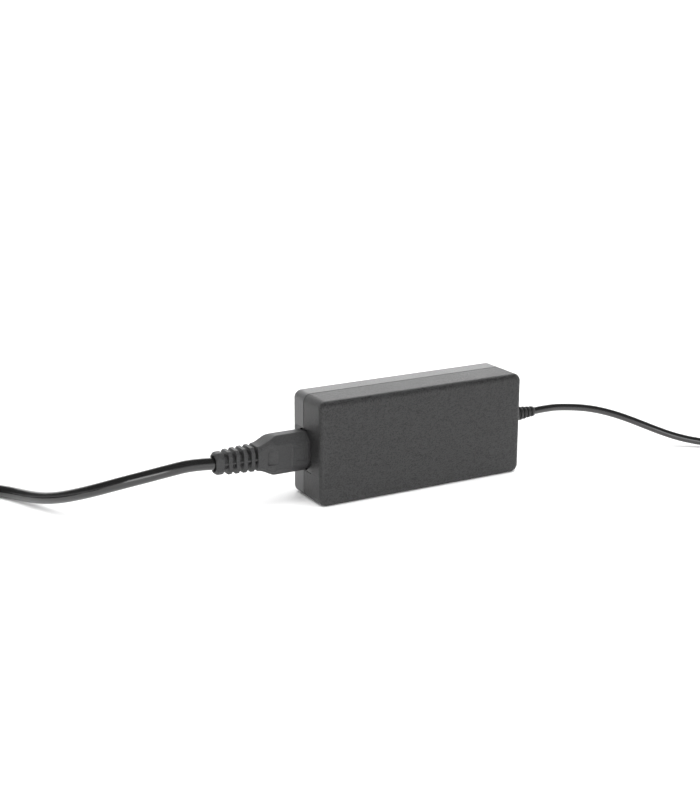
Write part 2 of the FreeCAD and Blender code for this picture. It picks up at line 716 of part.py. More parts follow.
@node
def dc_plug_insulator():
    tip = -BARREL_L
    ring = tube(BARREL_R, BARREL_BORE, (0, tip, 0), (0, tip + TIP_RING_L, 0))
    ring = ring.makeChamfer(0.35, [edge for edge in ring.Edges if lies_at(1, tip)(edge)])
    liner = tube(BARREL_R - BARREL_WALL, BARREL_BORE + SLEEVE_WALL, (0, tip + TIP_RING_L, 0), (0, BARREL_ROOT, 0))
    plug = rod(BARREL_BORE + SLEEVE_WALL, (0, BARREL_ROOT - 2.5, 0), (0, BARREL_ROOT, 0))
    plug = plug.cut(rod(CENTRE_PIN_R, (0, BARREL_ROOT - 3, 0), (0, BARREL_ROOT + 1, 0)))
    return put_barrel_plug(joined([ring, liner, plug]))


@node
def dc_plug_inner_sleeve():
    start = TIP_RING_L - BARREL_L
    sleeve = tube(BARREL_BORE + SLEEVE_WALL, BARREL_BORE, (0, start, 0), (0, BARREL_ROOT - 2.5, 0))
    return put_barrel_plug(sleeve)


@node
def dc_plug_leaf_contact():
    outer, inner = BARREL_BORE, BARREL_BORE - 0.25
    start = TIP_RING_L - BARREL_L + 1.2
    ring = tube(outer, inner, (0, start, 0), (0, start + 5.5, 0))
    window = box(0.2, 2.2, start - 1, start + 6, -4, -0.4)
    return put_barrel_plug(ring.common(window))


@node
def dc_plug_centre_pin():
    end = BARREL_ROOT
    return put_barrel_plug(rod(CENTRE_PIN_R, (0, end - 2.5 - CENTRE_PIN_L, 0), (0, end, 0)))


# Heat spreaders and insulating films


def sheet(x0, x1, margin, y0, thickness):
    blank = box(x0, x1, y0, y0 + thickness, WALL + margin, CASE_H - WALL - margin)
    return rounded(blank, 2.0, runs_along(1))


def behind_board(gap, thickness, hole_r):
    """A sheet between the board and the rear shell, with holes for the board's posts."""
    y0 = Y_REAR - WALL - gap - thickness
    blank = sheet(BOARD_X0, BOARD_X1, 2.0, y0, thickness)
    holes = [rod(hole_r, (x, y0 - 1, z), (x, y0 + thickness + 1, z)) for x, z in post_places()]
    return without(blank, holes)


@node
def rear_heat_spreader():
    return behind_board(LEAD_GAP, SPREADER_T, POST_R + 0.4)


@node
def rear_insulating_film():
    return behind_board(2 * LEAD_GAP + SPREADER_T, FILM_T, POST_R + 0.4)


@node
def front_heat_spreader():
    return sheet(BOARD_X0, BOARD_X1 - 5, 2.0, Y_FRONT + WALL + LEAD_GAP, SPREADER_T)


@node
def front_insulating_film():
    y0 = Y_FRONT + WALL + 2 * LEAD_GAP + SPREADER_T
    return sheet(BOARD_X0, BOARD_X1 - 5, 2.0, y0, FILM_T)


# Circuit board. Places on it are measured from its lower corner at the inlet, or, for the
# output side, from its lower corner at the output lead.


def from_inlet(along, up):
    return BOARD_X0 + along, BOARD_Z0 + up


def from_output(along, up):
    return BOARD_X1 - along, BOARD_Z0 + up


def block(place, size, height, lift=0.0):
    """A box that stands on the board, from its middle and its size along X and Z."""
    (x, z), (size_x, size_z) = place, size
    top = BOARD_FRONT - lift
    return box(x - size_x / 2, x + size_x / 2, top - height, top, z - size_z / 2, z + size_z / 2)


def can(place, radius, height, lift=0.0):
    x, z = place
    return rod(radius, (x, BOARD_FRONT - lift, z), (x, BOARD_FRONT - lift - height, z))


@node
def circuit_board():
    blank = box(BOARD_X0, BOARD_X1, BOARD_FRONT, BOARD_REAR, BOARD_Z0, BOARD_Z1)
    holes = [
        rod(POST_PIN_R + FIT, (x, BOARD_FRONT - 1, z), (x, BOARD_REAR + 1, z)) for x, z in post_places()
    ]
    return without(blank, holes)


@node
def fuse():
    return can(from_inlet(11, 7), 4.2, 8.5)


@node
def thermistor():
    x, z = from_inlet(20, 7)
    return rod(4.5, (x - 2, BOARD_FRONT - 5.5, z), (x + 2, BOARD_FRONT - 5.5, z))


@node
def varistor():
    x, z = from_inlet(9, 44)
    return rod(5.0, (x - 2, BOARD_FRONT - 6, z), (x + 2, BOARD_FRONT - 6, z))


@node
def x_capacitor():
    return rounded(block(from_inlet(22, 44), (17, 8), 14.5), 0.6, runs_along(1))


def choke_middle():
    return from_inlet(20, 24)


CHOKE_R, CHOKE_HOLE, CHOKE_H, CHOKE_LIFT = 8.0, 4.4, 8.0, 3.4
WINDING_T = 1.4


@node
def choke_base():
    base = block(choke_middle(), (20, 20), CHOKE_LIFT - WINDING_T - LEAD_GAP)
    return rounded(base, 2.0, runs_along(1))


@node
def choke_core():
    x, z = choke_middle()
    top = BOARD_FRONT - CHOKE_LIFT
    return tube(CHOKE_R, CHOKE_HOLE, (x, top, z), (x, top - CHOKE_H, z))


@node
def choke_windings():
    x, z = choke_middle()
    top = BOARD_FRONT - CHOKE_LIFT
    bottom = top - CHOKE_H
    jacket = tube(CHOKE_R + WINDING_T, CHOKE_HOLE - WINDING_T,
                  (x, top + WINDING_T, z), (x, bottom - WINDING_T, z))
    jacket = jacket.cut(tube(CHOKE_R, CHOKE_HOLE, (x, top, z), (x, bottom, z)))
    halves = []
    for side in (-1, 1):
        low, high = sorted((side * 2.0, side * (CHOKE_R + 3)))
        halves.append(jacket.common(box(x - 12, x + 12, bottom - 3, top + 3, z + low, z + high)))
    return Part.makeCompound(halves)


@node
def bridge_rectifier():
    return block(from_inlet(40, 46), (15, 4), 11)


@node
def bulk_capacitor():
    x, z = from_inlet(41, 21)
    radius, length = 9.0, 31.0
    y = BOARD_FRONT - radius - LEAD_GAP
    body = rod(radius, (x, y, z - length / 2), (x, y, z + length / 2))
    return rounded(body, 1.2, lambda edge: edge.Curve.TypeId == "Part::GeomCircle")


HEATSINK_T = 1.5
HEATSINK_H = 21.0
PACKAGE = (4.5, 10.0, 15.0)  # transistor: thickness, width, height above the board


def heatsink(x):
    plate_ = box(x, x + HEATSINK_T, BOARD_FRONT - HEATSINK_H, BOARD_FRONT, BOARD_Z0 + 6, BOARD_Z1 - 6)
    return plate_.cut(screw_hole(x))


def screw_place():
    return BOARD_FRONT - PACKAGE[2] + 2.6, BOARD_Z0 + 28


def screw_hole(x):
    y, z = screw_place()
    return rod(1.6, (x - 8, y, z), (x + 8, y, z))


def primary_x():
    return from_inlet(57, 0)[0]


def secondary_x():
    return from_output(14.5, 0)[0]


def package(x0, x1):
    width, height = PACKAGE[1:]
    y, z = screw_place()
    body = box(x0, x1, BOARD_FRONT - height, BOARD_FRONT - 1.5, z - width / 2, z + width / 2)
    return body.cut(screw_hole(x0))


def screw_stacks():
    """Each screw's start, direction and what it holds: a package, then a heatsink, then a nut."""
    reach = PACKAGE[0] + HEATSINK_T
    return [(primary_x() - PACKAGE[0], 1, reach), (secondary_x() + reach, -1, reach)]


@node
def primary_heatsink():
    return heatsink(primary_x())


@node
def switching_transistor():
    return package(primary_x() - PACKAGE[0], primary_x())


@node
def secondary_heatsink():
    return heatsink(secondary_x())


@node
def rectifier_diode():
    start = secondary_x() + HEATSINK_T
    return package(start, start + PACKAGE[0])


@node
def heatsink_screws():
    y, z = screw_place()
    screws = []
    for start, way, reach in screw_stacks():
        head = rod(2.7, (start - way * 1.8, y, z), (start, y, z))
        shank = rod(1.5, (start, y, z), (start + way * (reach + 2.6), y, z))
        screws.append(joined([head, shank]))
    return Part.makeCompound(screws)


@node
def heatsink_nuts():
    y, z = screw_place()
    nuts = []
    for start, way, reach in screw_stacks():
        seat = start + way * reach
        corners = [
            Vector(seat, y + 3.0 * math.cos(k * math.pi / 3), z + 3.0 * math.sin(k * math.pi / 3))
            for k in range(7)
        ]
        nut = Part.Face(Part.makePolygon(corners)).extrude(Vector(way * 2.2, 0, 0))
        nuts.append(nut.cut(rod(1.5, (seat - way, y, z), (seat + way * 3, y, z))))
    return Part.makeCompound(nuts)


# Transformer: two E halves round a bobbin whose axis runs along Z
CORE_W, CORE_H, CORE_DEPTH, CORE_LEG = 24.0, 27.0, 12.0, 4.2
BOBBIN_R, WINDING_R = 5.2, 7.4


def transformer_middle():
    x, z = from_output(29.5, 22)
    return x, BOARD_FRONT - 1.0 - WINDING_R, z


def bobbin_half():
    return CORE_H / 2 - CORE_LEG - LEAD_GAP


@node
def transformer_core():
    x, y, z = transformer_middle()
    outer = box(x - CORE_W / 2, x + CORE_W / 2, y - CORE_DEPTH / 2, y + CORE_DEPTH / 2,
                z - CORE_H / 2, z + CORE_H / 2)
    window = box(x - CORE_W / 2 + CORE_LEG, x + CORE_W / 2 - CORE_LEG, y - CORE_DEPTH, y + CORE_DEPTH,
                 z - CORE_H / 2 + CORE_LEG, z + CORE_H / 2 - CORE_LEG)
    leg = rod(BOBBIN_R - 1.0, (x, y, z - CORE_H / 2 + 1), (x, y, z + CORE_H / 2 - 1))
    core = outer.cut(window).fuse(leg)
    halves = []
    for z0, z1 in ((z - CORE_H, z), (z, z + CORE_H)):
        halves.append(core.common(box(x - CORE_W, x + CORE_W, y - CORE_W, y + CORE_W, z0, z1)))
    return Part.makeCompound(halves)


@node
def transformer_bobbin():
    x, y, z = transformer_middle()
    half = bobbin_half()
    pieces = [rod(BOBBIN_R, (x, y, z - half), (x, y, z + half))]
    for z0 in (z - half, z + half - 1.0):
        pieces.append(rod(WINDING_R + 0.2, (x, y, z0), (x, y, z0 + 1.0)))
    return joined(pieces).cut(rod(BOBBIN_R - 1.0 + 0.05, (x, y, z - CORE_H), (x, y, z + CORE_H)))


@node
def transformer_winding():
    x, y, z = transformer_middle()
    half = bobbin_half() - 1.0
    return tube(WINDING_R, BOBBIN_R, (x, y, z - half), (x, y, z + half))


@node
def y_capacitor():
    x, z = from_output(26, 47)
    return rod(3.5, (x - 1.5, BOARD_FRONT - 4.5, z), (x + 1.5, BOARD_FRONT - 4.5, z))


@node
def optocoupler():
    return block(from_output(33, 4), (6.5, 4.6), 3.5)


@node
def controller_ic():
    return block(from_inlet(52, 45), (6.0, 9.0), 3.0)


@node
def output_capacitors():
    return Part.makeCompound([can(from_output(5.4, up), 4.6, 19.0) for up in (14.0, 41.0)])


@node
def output_choke():
    place = from_output(8.5, 4.8)
    return joined([can(place, 3.2, 7.0), can(place, 1.2, 9.0)])


for maker in makers:
    shape = maker()
    shape.exportStep(f"parts/{maker.__name__}.step")
print(len(makers), "sub-parts")
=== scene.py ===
import json
import math
import bmesh
import bpy
from mathutils import Matrix, Vector


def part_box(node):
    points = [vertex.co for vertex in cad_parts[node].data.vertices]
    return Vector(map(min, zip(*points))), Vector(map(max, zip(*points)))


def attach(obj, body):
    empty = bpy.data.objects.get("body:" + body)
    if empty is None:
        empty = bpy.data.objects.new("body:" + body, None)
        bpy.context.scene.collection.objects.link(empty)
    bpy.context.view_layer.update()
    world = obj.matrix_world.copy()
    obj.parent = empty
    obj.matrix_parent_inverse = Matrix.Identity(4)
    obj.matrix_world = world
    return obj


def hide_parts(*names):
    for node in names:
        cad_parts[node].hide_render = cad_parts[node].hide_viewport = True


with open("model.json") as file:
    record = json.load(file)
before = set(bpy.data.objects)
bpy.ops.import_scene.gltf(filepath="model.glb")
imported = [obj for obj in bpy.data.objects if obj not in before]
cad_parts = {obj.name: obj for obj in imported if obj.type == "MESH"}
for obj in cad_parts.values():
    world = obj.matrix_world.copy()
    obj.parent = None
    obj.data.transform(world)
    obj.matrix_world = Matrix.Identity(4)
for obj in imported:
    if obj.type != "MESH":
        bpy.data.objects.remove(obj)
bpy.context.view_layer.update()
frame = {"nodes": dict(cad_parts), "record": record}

# Laptop power adapter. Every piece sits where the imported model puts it.

mm = 0.001
nodes = frame["nodes"]


def metres(points):
    return [Vector(p) * mm for p in points]


def span(nodeName):
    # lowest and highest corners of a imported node, in millimetres
    low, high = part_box(nodeName)
    return Vector(low) / mm, Vector(high) / mm


# matched to the photo: the eye in millimetres, the aim as a direction
cameraSetup = {
    "eye": (-417.2, -672.8, 271.8),
    "aim": (0.4716, 0.839, -0.2715),
    "rollDegrees": 0.172,
    "lens": 64.53,
    "sensorWidth": 36.0,
    "clipMetres": (0.05, 20.0),
}


def makeCamera(setup):
    data = bpy.data.cameras.new("viewCamera")
    data.lens = setup["lens"]
    data.sensor_width = setup["sensorWidth"]
    data.clip_start, data.clip_end = setup["clipMetres"]
    camera = bpy.data.objects.new("viewCamera", data)
    bpy.context.scene.collection.objects.link(camera)
    aim = Vector(setup["aim"]).normalized()
    side = aim.cross(Vector((0, 0, 1))).normalized()
    top = side.cross(aim)
    roll = math.radians(setup["rollDegrees"])
    right = side * math.cos(roll) + top * math.sin(roll)
    up = top * math.cos(roll) - side * math.sin(roll)
    turn = Matrix((right, up, -aim)).transposed().to_4x4()
    camera.matrix_world = Matrix.Translation(Vector(setup["eye"]) * mm) @ turn
    bpy.context.scene.camera = camera


makeCamera(cameraSetup)
print("camera ready")


class Sock:
    # one socket of a shader tree, so that maths on it reads as an expression
    def __init__(self, surface, socket):
        self.surface, self.socket = surface, socket

    def maths(self, operation, *values):
        return self.surface.add("ShaderNodeMath", {"operation": operation}, dict(enumerate(values)))

    def __add__(self, other):
        return self.maths("ADD", self, other)

    def __radd__(self, other):
        return self.maths("ADD", other, self)

    def __sub__(self, other):
        return self.maths("SUBTRACT", self, other)

    def __rsub__(self, other):
        return self.maths("SUBTRACT", other, self)

    def __mul__(self, other):
        return self.maths("MULTIPLY", self, other)

    def __rmul__(self, other):
        return self.maths("MULTIPLY", other, self)

    def __abs__(self):
        return self.maths("ABSOLUTE", self)

    def larger(self, other):
        return self.maths("MAXIMUM", self, other)

    def above(self, low, high):
        # 0 under low, 1 over high, smooth between
        return self.surface.add(
            "ShaderNodeMapRange",
            {"interpolation_type": "SMOOTHSTEP"},
            {"Value": self, "From Min": low, "From Max": high},
        )


class Surface:
    def __init__(self, tree, coordinates="Object"):
        self.tree = tree
        self.tree.nodes.clear()
        self.place = self.add("ShaderNodeTexCoord", output=coordinates)

    def add(self, kind, settings=None, inputs=None, output=0):
        node = self.tree.nodes.new(kind)
        for key, value in (settings or {}).items():
            setattr(node, key, value)
        for key, value in (inputs or {}).items():
            if isinstance(value, Sock):
                self.tree.links.new(value.socket, node.inputs[key])
            else:
                node.inputs[key].default_value = value
        return Sock(self, node.outputs[output])

    def noise(self, scale, detail=3.0, roughness=0.55, place=None):
        return self.add(
            "ShaderNodeTexNoise",
            {"noise_dimensions": "3D"},
            {"Vector": place or self.place, "Scale": scale, "Detail": detail, "Roughness": roughness},
        )

    def axes(self):
        split = self.add("ShaderNodeSeparateXYZ", None, {"Vector": self.place})
        return [Sock(self, socket) for socket in split.socket.node.outputs]

    def stretched(self, scale):
        return self.add("ShaderNodeMapping", None, {"Vector": self.place, "Scale": scale})

    def blend(self, factor, first, second):
        return self.add(
            "ShaderNodeMix", {"data_type": "RGBA"}, {0: factor, 6: first, 7: second}, output=2
        )

    def bump(self, height, depth):
        sizes = {"Height": height, "Distance": depth * mm}
        return self.add("ShaderNodeBump", None, sizes, output="Normal")

    def finish(self, **sockets):
        values = {key.replace("_", " "): value for key, value in sockets.items()}
        self.end(self.add("ShaderNodeBsdfPrincipled", None, values), "ShaderNodeOutputMaterial")

    def end(self, shader, kind):
        output = self.tree.nodes.new(kind)
        self.tree.links.new(shader.socket, output.inputs["Surface"])


def newSurface(name):
    material = bpy.data.materials.new(name)
    material.use_nodes = True
    return material, Surface(material.node_tree)


def rgba(value, tint=(1.0, 1.0, 1.0)):
    return (value * tint[0], value * tint[1], value * tint[2], 1.0)


def grainedPlastic(name, shade, rough, grain, depth, mottle=0.35, tint=(1.0, 1.0, 1.02), specular=0.5):
    # spark-eroded mould grain of a size in millimetres: fine pits, with a slow drift in tone and gloss
    material, s = newSurface(name)
    fine = s.noise(0.75 / (grain * mm), 2.0, 0.6)  # one pit for each grain
    coarse = s.noise(0.22 / (grain * mm), 2.0, 0.5)  # patches a few grains wide
    slow = s.noise(28, 3.0, 0.5)  # drift over centimetres
    pits = fine.above(0.38, 0.62)
    tone = (pits * 0.85 + coarse * 0.15) * (0.85 + slow * 0.3)
    colour = s.blend(tone, rgba(shade * (1 - mottle), tint), rgba(shade * (1 + mottle), tint))
    gloss = rough + (pits - 0.5) * 0.12 + (slow - 0.5) * 0.08
    normal = s.bump(pits + coarse * 0.4, depth)
    s.finish(Base_Color=colour, Roughness=gloss, Normal=normal, Specular_IOR_Level=specular)
    return material


def smoothPlastic(name, shade, rough, tint=(1.0, 1.0, 1.0), coat=0.0, wave=0.02):
    # hard smooth moulding with faint flow waves and a little dust
    material, s = newSurface(name)
    slow = s.noise(120, 3.0, 0.5)
    dust = s.noise(2600, 2.0, 0.6).above(0.68, 0.78)
    colour = s.blend(slow * 0.6 + dust * 0.4, rgba(shade * 0.75, tint), rgba(shade * 1.35, tint))
    gloss = rough + (slow - 0.5) * 0.1 + dust * 0.2
    normal = s.bump(slow + s.noise(700, 2.0) * 0.25, wave)
    s.finish(Base_Color=colour, Roughness=gloss, Normal=normal, Coat_Weight=coat, Coat_Roughness=0.08)
    return material


def platedMetal(name, colour, rough, brushed=(1.0, 1.0, 1.0), scuffs=0.25):
    # plate with fine drawn lines and a few dull scuffs
    material, s = newSurface(name)
    lines = s.noise(2400, 3.0, 0.6, s.stretched(brushed))
    scuff = s.noise(420, 5.0, 0.7).above(0.52, 0.68)
    slow = s.noise(160, 2.0)
    bright = tuple(c * 1.08 for c in colour) + (1.0,)
    dull = tuple(c * 0.72 for c in colour) + (1.0,)
    tone = s.blend(scuff * 0.6 + lines * 0.25, bright, dull)
    gloss = rough + lines * 0.08 + scuff * scuffs + (slow - 0.5) * 0.06
    normal = s.bump(lines + scuff * 0.4, 0.004)
    s.finish(Base_Color=tone, Roughness=gloss, Metallic=1.0, Normal=normal)
    return material


def labelFilm(name, shade, border):
    # satin film on the rear face, blank inside a thin printed frame
    material, s = newSurface(name)
    low, high = span("rating_label")
    middle, half = (low + high) / 2, (high - low) / 2
    x, _, z = s.axes()
    fromSide = abs(x - middle.x * mm) - (half.x - border["inset"]) * mm
    fromTop = abs(z - middle.z * mm) - (half.z - border["inset"]) * mm
    outside = fromSide.larger(fromTop)
    line = 1 - abs(outside).above(border["width"] * 0.3 * mm, border["width"] * 0.6 * mm)
    slow = s.noise(60, 3.0, 0.5)
    base = s.blend(slow, rgba(shade * 0.8), rgba(shade * 1.25))
    colour = s.blend(line, base, rgba(border["shade"]))
    normal = s.bump(s.noise(900, 2.0) + line * 0.5, 0.012)
    s.finish(Base_Color=colour, Roughness=0.34 + slow * 0.12, Normal=normal)
    return material


caseFinish = {"shade": 0.012, "rough": 0.48, "grain": 0.55, "depth": 0.12, "mottle": 0.95}
# painted light: the rear shell's colour is a lighter copy of the case plastic, standing in for the brighter
# light that falls on its backward-facing walls
rearLitFinish = {"shade": 0.026, "rough": 0.42, "grain": 0.5, "depth": 0.05, "mottle": 0.6, "specular": 0.8}
finishes = {
    "case_plastic": grainedPlastic("caseGrain", **caseFinish),
    "label_film": labelFilm("labelFilm", 0.02, {"inset": 2.4, "width": 0.4, "shade": 0.07}),
    "inlet_plastic": smoothPlastic("inletBlack", 0.014, 0.42),
    "connector_plastic": grainedPlastic("connectorGrain", 0.028, 0.5, 0.35, 0.03, 0.4, specular=0.36),
    "insert_plastic": smoothPlastic("insertBlack", 0.015, 0.4),
    "cord_sheath": smoothPlastic("cordSheath", 0.006, 0.24, coat=0.5, wave=0.02),
    "tie_strap": smoothPlastic("tieStrap", 0.015, 0.5),
    "relief_rubber": grainedPlastic("reliefRubber", 0.012, 0.42, 0.3, 0.01, 0.25),
    "plug_plastic": grainedPlastic("plugGrain", 0.026, 0.4, 0.25, 0.02, 0.35),
    "face_plastic": smoothPlastic("plugFace", 0.014, 0.4),
    "pin_nickel": platedMetal("pinNickel", (0.72, 0.7, 0.66), 0.16, (1.0, 1.0, 0.05)),
    "barrel_nickel": platedMetal("barrelNickel", (0.78, 0.76, 0.72), 0.1, (1.0, 0.06, 1.0), 0.3),
    "tip_plastic": smoothPlastic("tipGloss", 0.01, 0.14, coat=0.5),
    "contact_metal": platedMetal("contactBrass", (0.8, 0.6, 0.3), 0.22),
    "contact_copper": platedMetal("contactCopper", (0.62, 0.34, 0.2), 0.28),
    "board_laminate": smoothPlastic("boardMask", 0.06, 0.35, (0.4, 1.5, 0.6)),
    "heatsink_aluminium": platedMetal("heatsinkPlate", (0.76, 0.76, 0.78), 0.32, (1.0, 1.0, 0.04)),
    "screw_steel": platedMetal("screwZinc", (0.6, 0.6, 0.62), 0.3),
    "ferrite": grainedPlastic("ferriteBlock", 0.04, 0.7, 0.4, 0.03),
    "winding_copper": platedMetal("windingEnamel", (0.7, 0.32, 0.14), 0.25, (1.0, 0.05, 1.0)),
    "winding_tape": smoothPlastic("windingTape", 0.4, 0.4, (1.4, 1.0, 0.15)),
    "bobbin_plastic": smoothPlastic("bobbinBrown", 0.02, 0.5, (1.4, 1.0, 0.7)),
    "capacitor_sleeve": smoothPlastic("capacitorSleeve", 0.02, 0.25, (0.7, 0.9, 1.8)),
    "capacitor_box": smoothPlastic("capacitorBox", 0.4, 0.45, (1.4, 1.0, 0.1)),
    "disc_ceramic": smoothPlastic("discCeramic", 0.15, 0.3, (0.4, 0.9, 2.0)),
    "dark_epoxy": smoothPlastic("darkEpoxy", 0.02, 0.55),
    "insulating_film": smoothPlastic("insulatingFilm", 0.6, 0.4),
    "wire_insulation": smoothPlastic("wireInsulation", 0.03, 0.4),
}
# painted light: besides being less matt, the rear shell's colour is painted about twice as light as the
# front shell's, for the light that falls on it
rearGrainPaintedLighter = grainedPlastic("rearGrainPaintedLighter", **rearLitFinish)  # the rear shell is less matt than the front one
slotOf = {part["node"]: part["material_slot"] for part in frame["record"]["subparts"]}
for name, node in nodes.items():
    node.data.materials.clear()
    node.data.materials.append(finishes[slotOf[name]])
print("finishes ready:", len(finishes) + 1)


def place(piece, body, slotName, *replaced, finish=None):
    # hands a finished piece to its body and hides the plain solids that it stands for
    piece.data.materials.clear()
    piece.data.materials.append(finish or finishes[slotName])
    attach(piece, body)
    if replaced:
        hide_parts(*replaced)
    return piece


def fromMesh(name, build):
    # a new object whose mesh is made by a function that fills a bmesh
    mesh = bpy.data.meshes.new(name)
    work = bmesh.new()
    build(work)
    work.to_mesh(mesh)
    work.free()
    piece = bpy.data.objects.new(name, mesh)
    bpy.context.scene.collection.objects.link(piece)
    return piece


def settle(piece):
    # makes live modifiers part of the mesh, and drops them
    graph = bpy.context.evaluated_depsgraph_get()
    mesh = bpy.data.meshes.new_from_object(piece.evaluated_get(graph))
    old = piece.data
    piece.modifiers.clear()
    piece.data = mesh
    mesh.name = piece.name
    bpy.data.meshes.remove(old)
    return piece


sharpDegrees = 32  # edges that turn by more than this stay sharp


def softEdges(piece, width, segments=2, degrees=sharpDegrees):
    # a live bevel on the edges that turn by more than so many degrees
    bevel = piece.modifiers.new("edges", "BEVEL")
    bevel.width = width * mm
    bevel.segments = segments
    bevel.limit_method = "ANGLE"
    bevel.angle_limit = math.radians(degrees)
    bevel.use_clamp_overlap = False


def keepFlats(piece):
    # smooth shading that leaves flats flat, next to eased edges
    settle(piece)
    for face in piece.data.polygons:
        face.use_smooth = True
    piece.data.set_sharp_from_angle(angle=math.radians(sharpDegrees))
    weighted = piece.modifiers.new("flats", "WEIGHTED_NORMAL")
    weighted.keep_sharp = True
    return settle(piece)


def refined(nodeName, edge):
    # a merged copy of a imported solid, with its flats made whole and its sharp edges eased
    source = nodes[nodeName].data
    mergeWithin, flatWithin = 0.002 * mm, math.radians(0.4)

    def build(work):
        work.from_mesh(source)
        bmesh.ops.remove_doubles(work, verts=work.verts, dist=mergeWithin)
        bmesh.ops.dissolve_limit(work, angle_limit=flatWithin, verts=work.verts, edges=work.edges)

    piece = fromMesh(nodeName + "Finished", build)
    softEdges(piece, edge)
    return keepFlats(piece)


def skin(work, rings, closed=False):
    # joins rings of points, in millimetres, into one closed surface
    loops = [[work.verts.new(point) for point in metres(ring)] for ring in rings]
    pairs = list(zip(loops, loops[1:])) + ([(loops[-1], loops[0])] if closed else [])
    for first, second in pairs:
        for k in range(len(first)):
            after = (k + 1) % len(first)
            work.faces.new((first[k], first[after], second[after], second[k]))
    if not closed:
        work.faces.new(loops[0])
        work.faces.new(loops[-1])
    bmesh.ops.recalc_face_normals(work, faces=work.faces)


def circle(along, radius, count=64):
    # points round the local X axis
    turn = math.tau / count
    return [(along, radius * math.cos(k * turn), radius * math.sin(k * turn)) for k in range(count)]


def rounding(start, end, corner, steps=4):
    # points of an eased corner between two places of a turned outline
    points = []
    for k in range(steps + 1):
        t = k / steps
        a, b, c = (1 - t) ** 2, 2 * t * (1 - t), t * t
        points.append(tuple(a * start[i] + b * corner[i] + c * end[i] for i in range(2)))
    return points


def turnedPiece(name, outline, closed=False, count=64):
    # a turned piece round the local X axis, from (along, radius) pairs
    rings = [circle(along, radius, count) for along, radius in outline]
    return fromMesh(name, lambda work: skin(work, rings, closed))


def crestedRing(name, width, radius, ease, root):
    # one rounded ring of a strain relief, round the origin
    half = width / 2
    crest = rounding((-half, radius - ease), (0, radius), (-half, radius))
    crest += rounding((0, radius), (half, radius - ease), (half, radius))[1:]
    return turnedPiece(name, [(-half, root)] + crest + [(half, root)])


def shift(x=0.0, y=0.0, z=0.0):
    return Matrix.Translation(Vector((x, y, z)))


def spin(degrees, axis="Z"):
    return Matrix.Rotation(math.radians(degrees), 4, axis)


def moved(piece, matrix):
    # puts a piece's place, in millimetres, into its mesh
    offset = matrix.to_translation() * mm
    piece.data.transform(Matrix.Translation(offset) @ matrix.to_3x3().to_4x4())
    return piece


def makeRepeatTree():
    # copies of the incoming geometry in a row from the origin, changing evenly in size
    tree = bpy.data.node_groups.new("repeatAlong", "GeometryNodeTree")
    face = tree.interface
    kinds = {"Geometry": "Geometry", "Count": "Int", "Step": "Vector"}
    kinds.update({"Last Size": "Vector", "Finish": "Material"})
    for name, kind in kinds.items():
        face.new_socket(name, in_out="INPUT", socket_type="NodeSocket" + kind)
    face.new_socket("Geometry", in_out="OUTPUT", socket_type="NodeSocketGeometry")
    add, link = tree.nodes.new, tree.links.new
    entry = add("NodeGroupInput")
    row = add("GeometryNodeMeshLine")
    copies = add("GeometryNodeInstanceOnPoints")
    link(entry.outputs["Count"], row.inputs["Count"])
    link(entry.outputs["Step"], row.inputs["Offset"])
    # each copy's share of the way along the row, from 0 to 1
    less, share = add("ShaderNodeMath"), add("ShaderNodeMath")
    less.operation, share.operation = "SUBTRACT", "DIVIDE"
    less.inputs[1].default_value = 1
    link(entry.outputs["Count"], less.inputs[0])
    link(add("GeometryNodeInputIndex").outputs[0], share.inputs[0])
    link(less.outputs[0], share.inputs[1])
    size = add("ShaderNodeMix")
    size.data_type = "VECTOR"
    first, last = [socket for socket in size.inputs if socket.type == "VECTOR" and socket.enabled][:2]
    first.default_value = (1, 1, 1)
    link(share.outputs[0], size.inputs[0])
    link(entry.outputs["Last Size"], last)
    link(row.outputs[0], copies.inputs["Points"])
    link(entry.outputs["Geometry"], copies.inputs["Instance"])
    link([socket for socket in size.outputs if socket.enabled][0], copies.inputs["Scale"])
    whole = add("GeometryNodeRealizeInstances")
    coat = add("GeometryNodeSetMaterial")
    leave = add("NodeGroupOutput")
    link(copies.outputs[0], whole.inputs[0])
    link(whole.outputs[0], coat.inputs["Geometry"])
    link(entry.outputs["Finish"], coat.inputs["Material"])
    link(coat.outputs[0], leave.inputs[0])
    return tree


repeatTree = makeRepeatTree()


def repeated(piece, count, step, lastSize, slotName):
    # turns one rib, made at the origin, into a tapering row of them
    row = piece.modifiers.new("row", "NODES")
    row.node_group = repeatTree
    values = {"Count": count, "Step": tuple(Vector(step) * mm), "Last Size": lastSize}
    values["Finish"] = finishes[slotName]
    for item in repeatTree.interface.items_tree:
        if item.name in values and item.in_out == "INPUT":
            row[item.identifier] = values[item.name]
    return settle(piece)


def carved(piece, *cutters):
    # cuts each cutter out of a piece, and throws the cutters away
    for cutter in cutters:
        cut = piece.modifiers.new("cut", "BOOLEAN")
        cut.operation, cut.solver, cut.object = "DIFFERENCE", "EXACT", cutter
        settle(piece)
        bpy.data.objects.remove(cutter)
    return piece


def cordCurve(name, points, diameter):
    # a smooth round cord that passes close by its points
    curve = bpy.data.curves.new(name, "CURVE")
    curve.dimensions = "3D"
    curve.bevel_depth = diameter / 2 * mm
    curve.bevel_resolution = 6
    curve.resolution_u = 8
    curve.use_fill_caps = True
    spline = curve.splines.new("NURBS")
    spline.points.add(len(points) - 1)
    for point, spot in zip(spline.points, metres(points)):
        point.co = (*spot, 1.0)
    spline.order_u = 3
    spline.use_endpoint_u = True
    piece = bpy.data.objects.new(name, curve)
    bpy.context.scene.collection.objects.link(piece)
    return piece


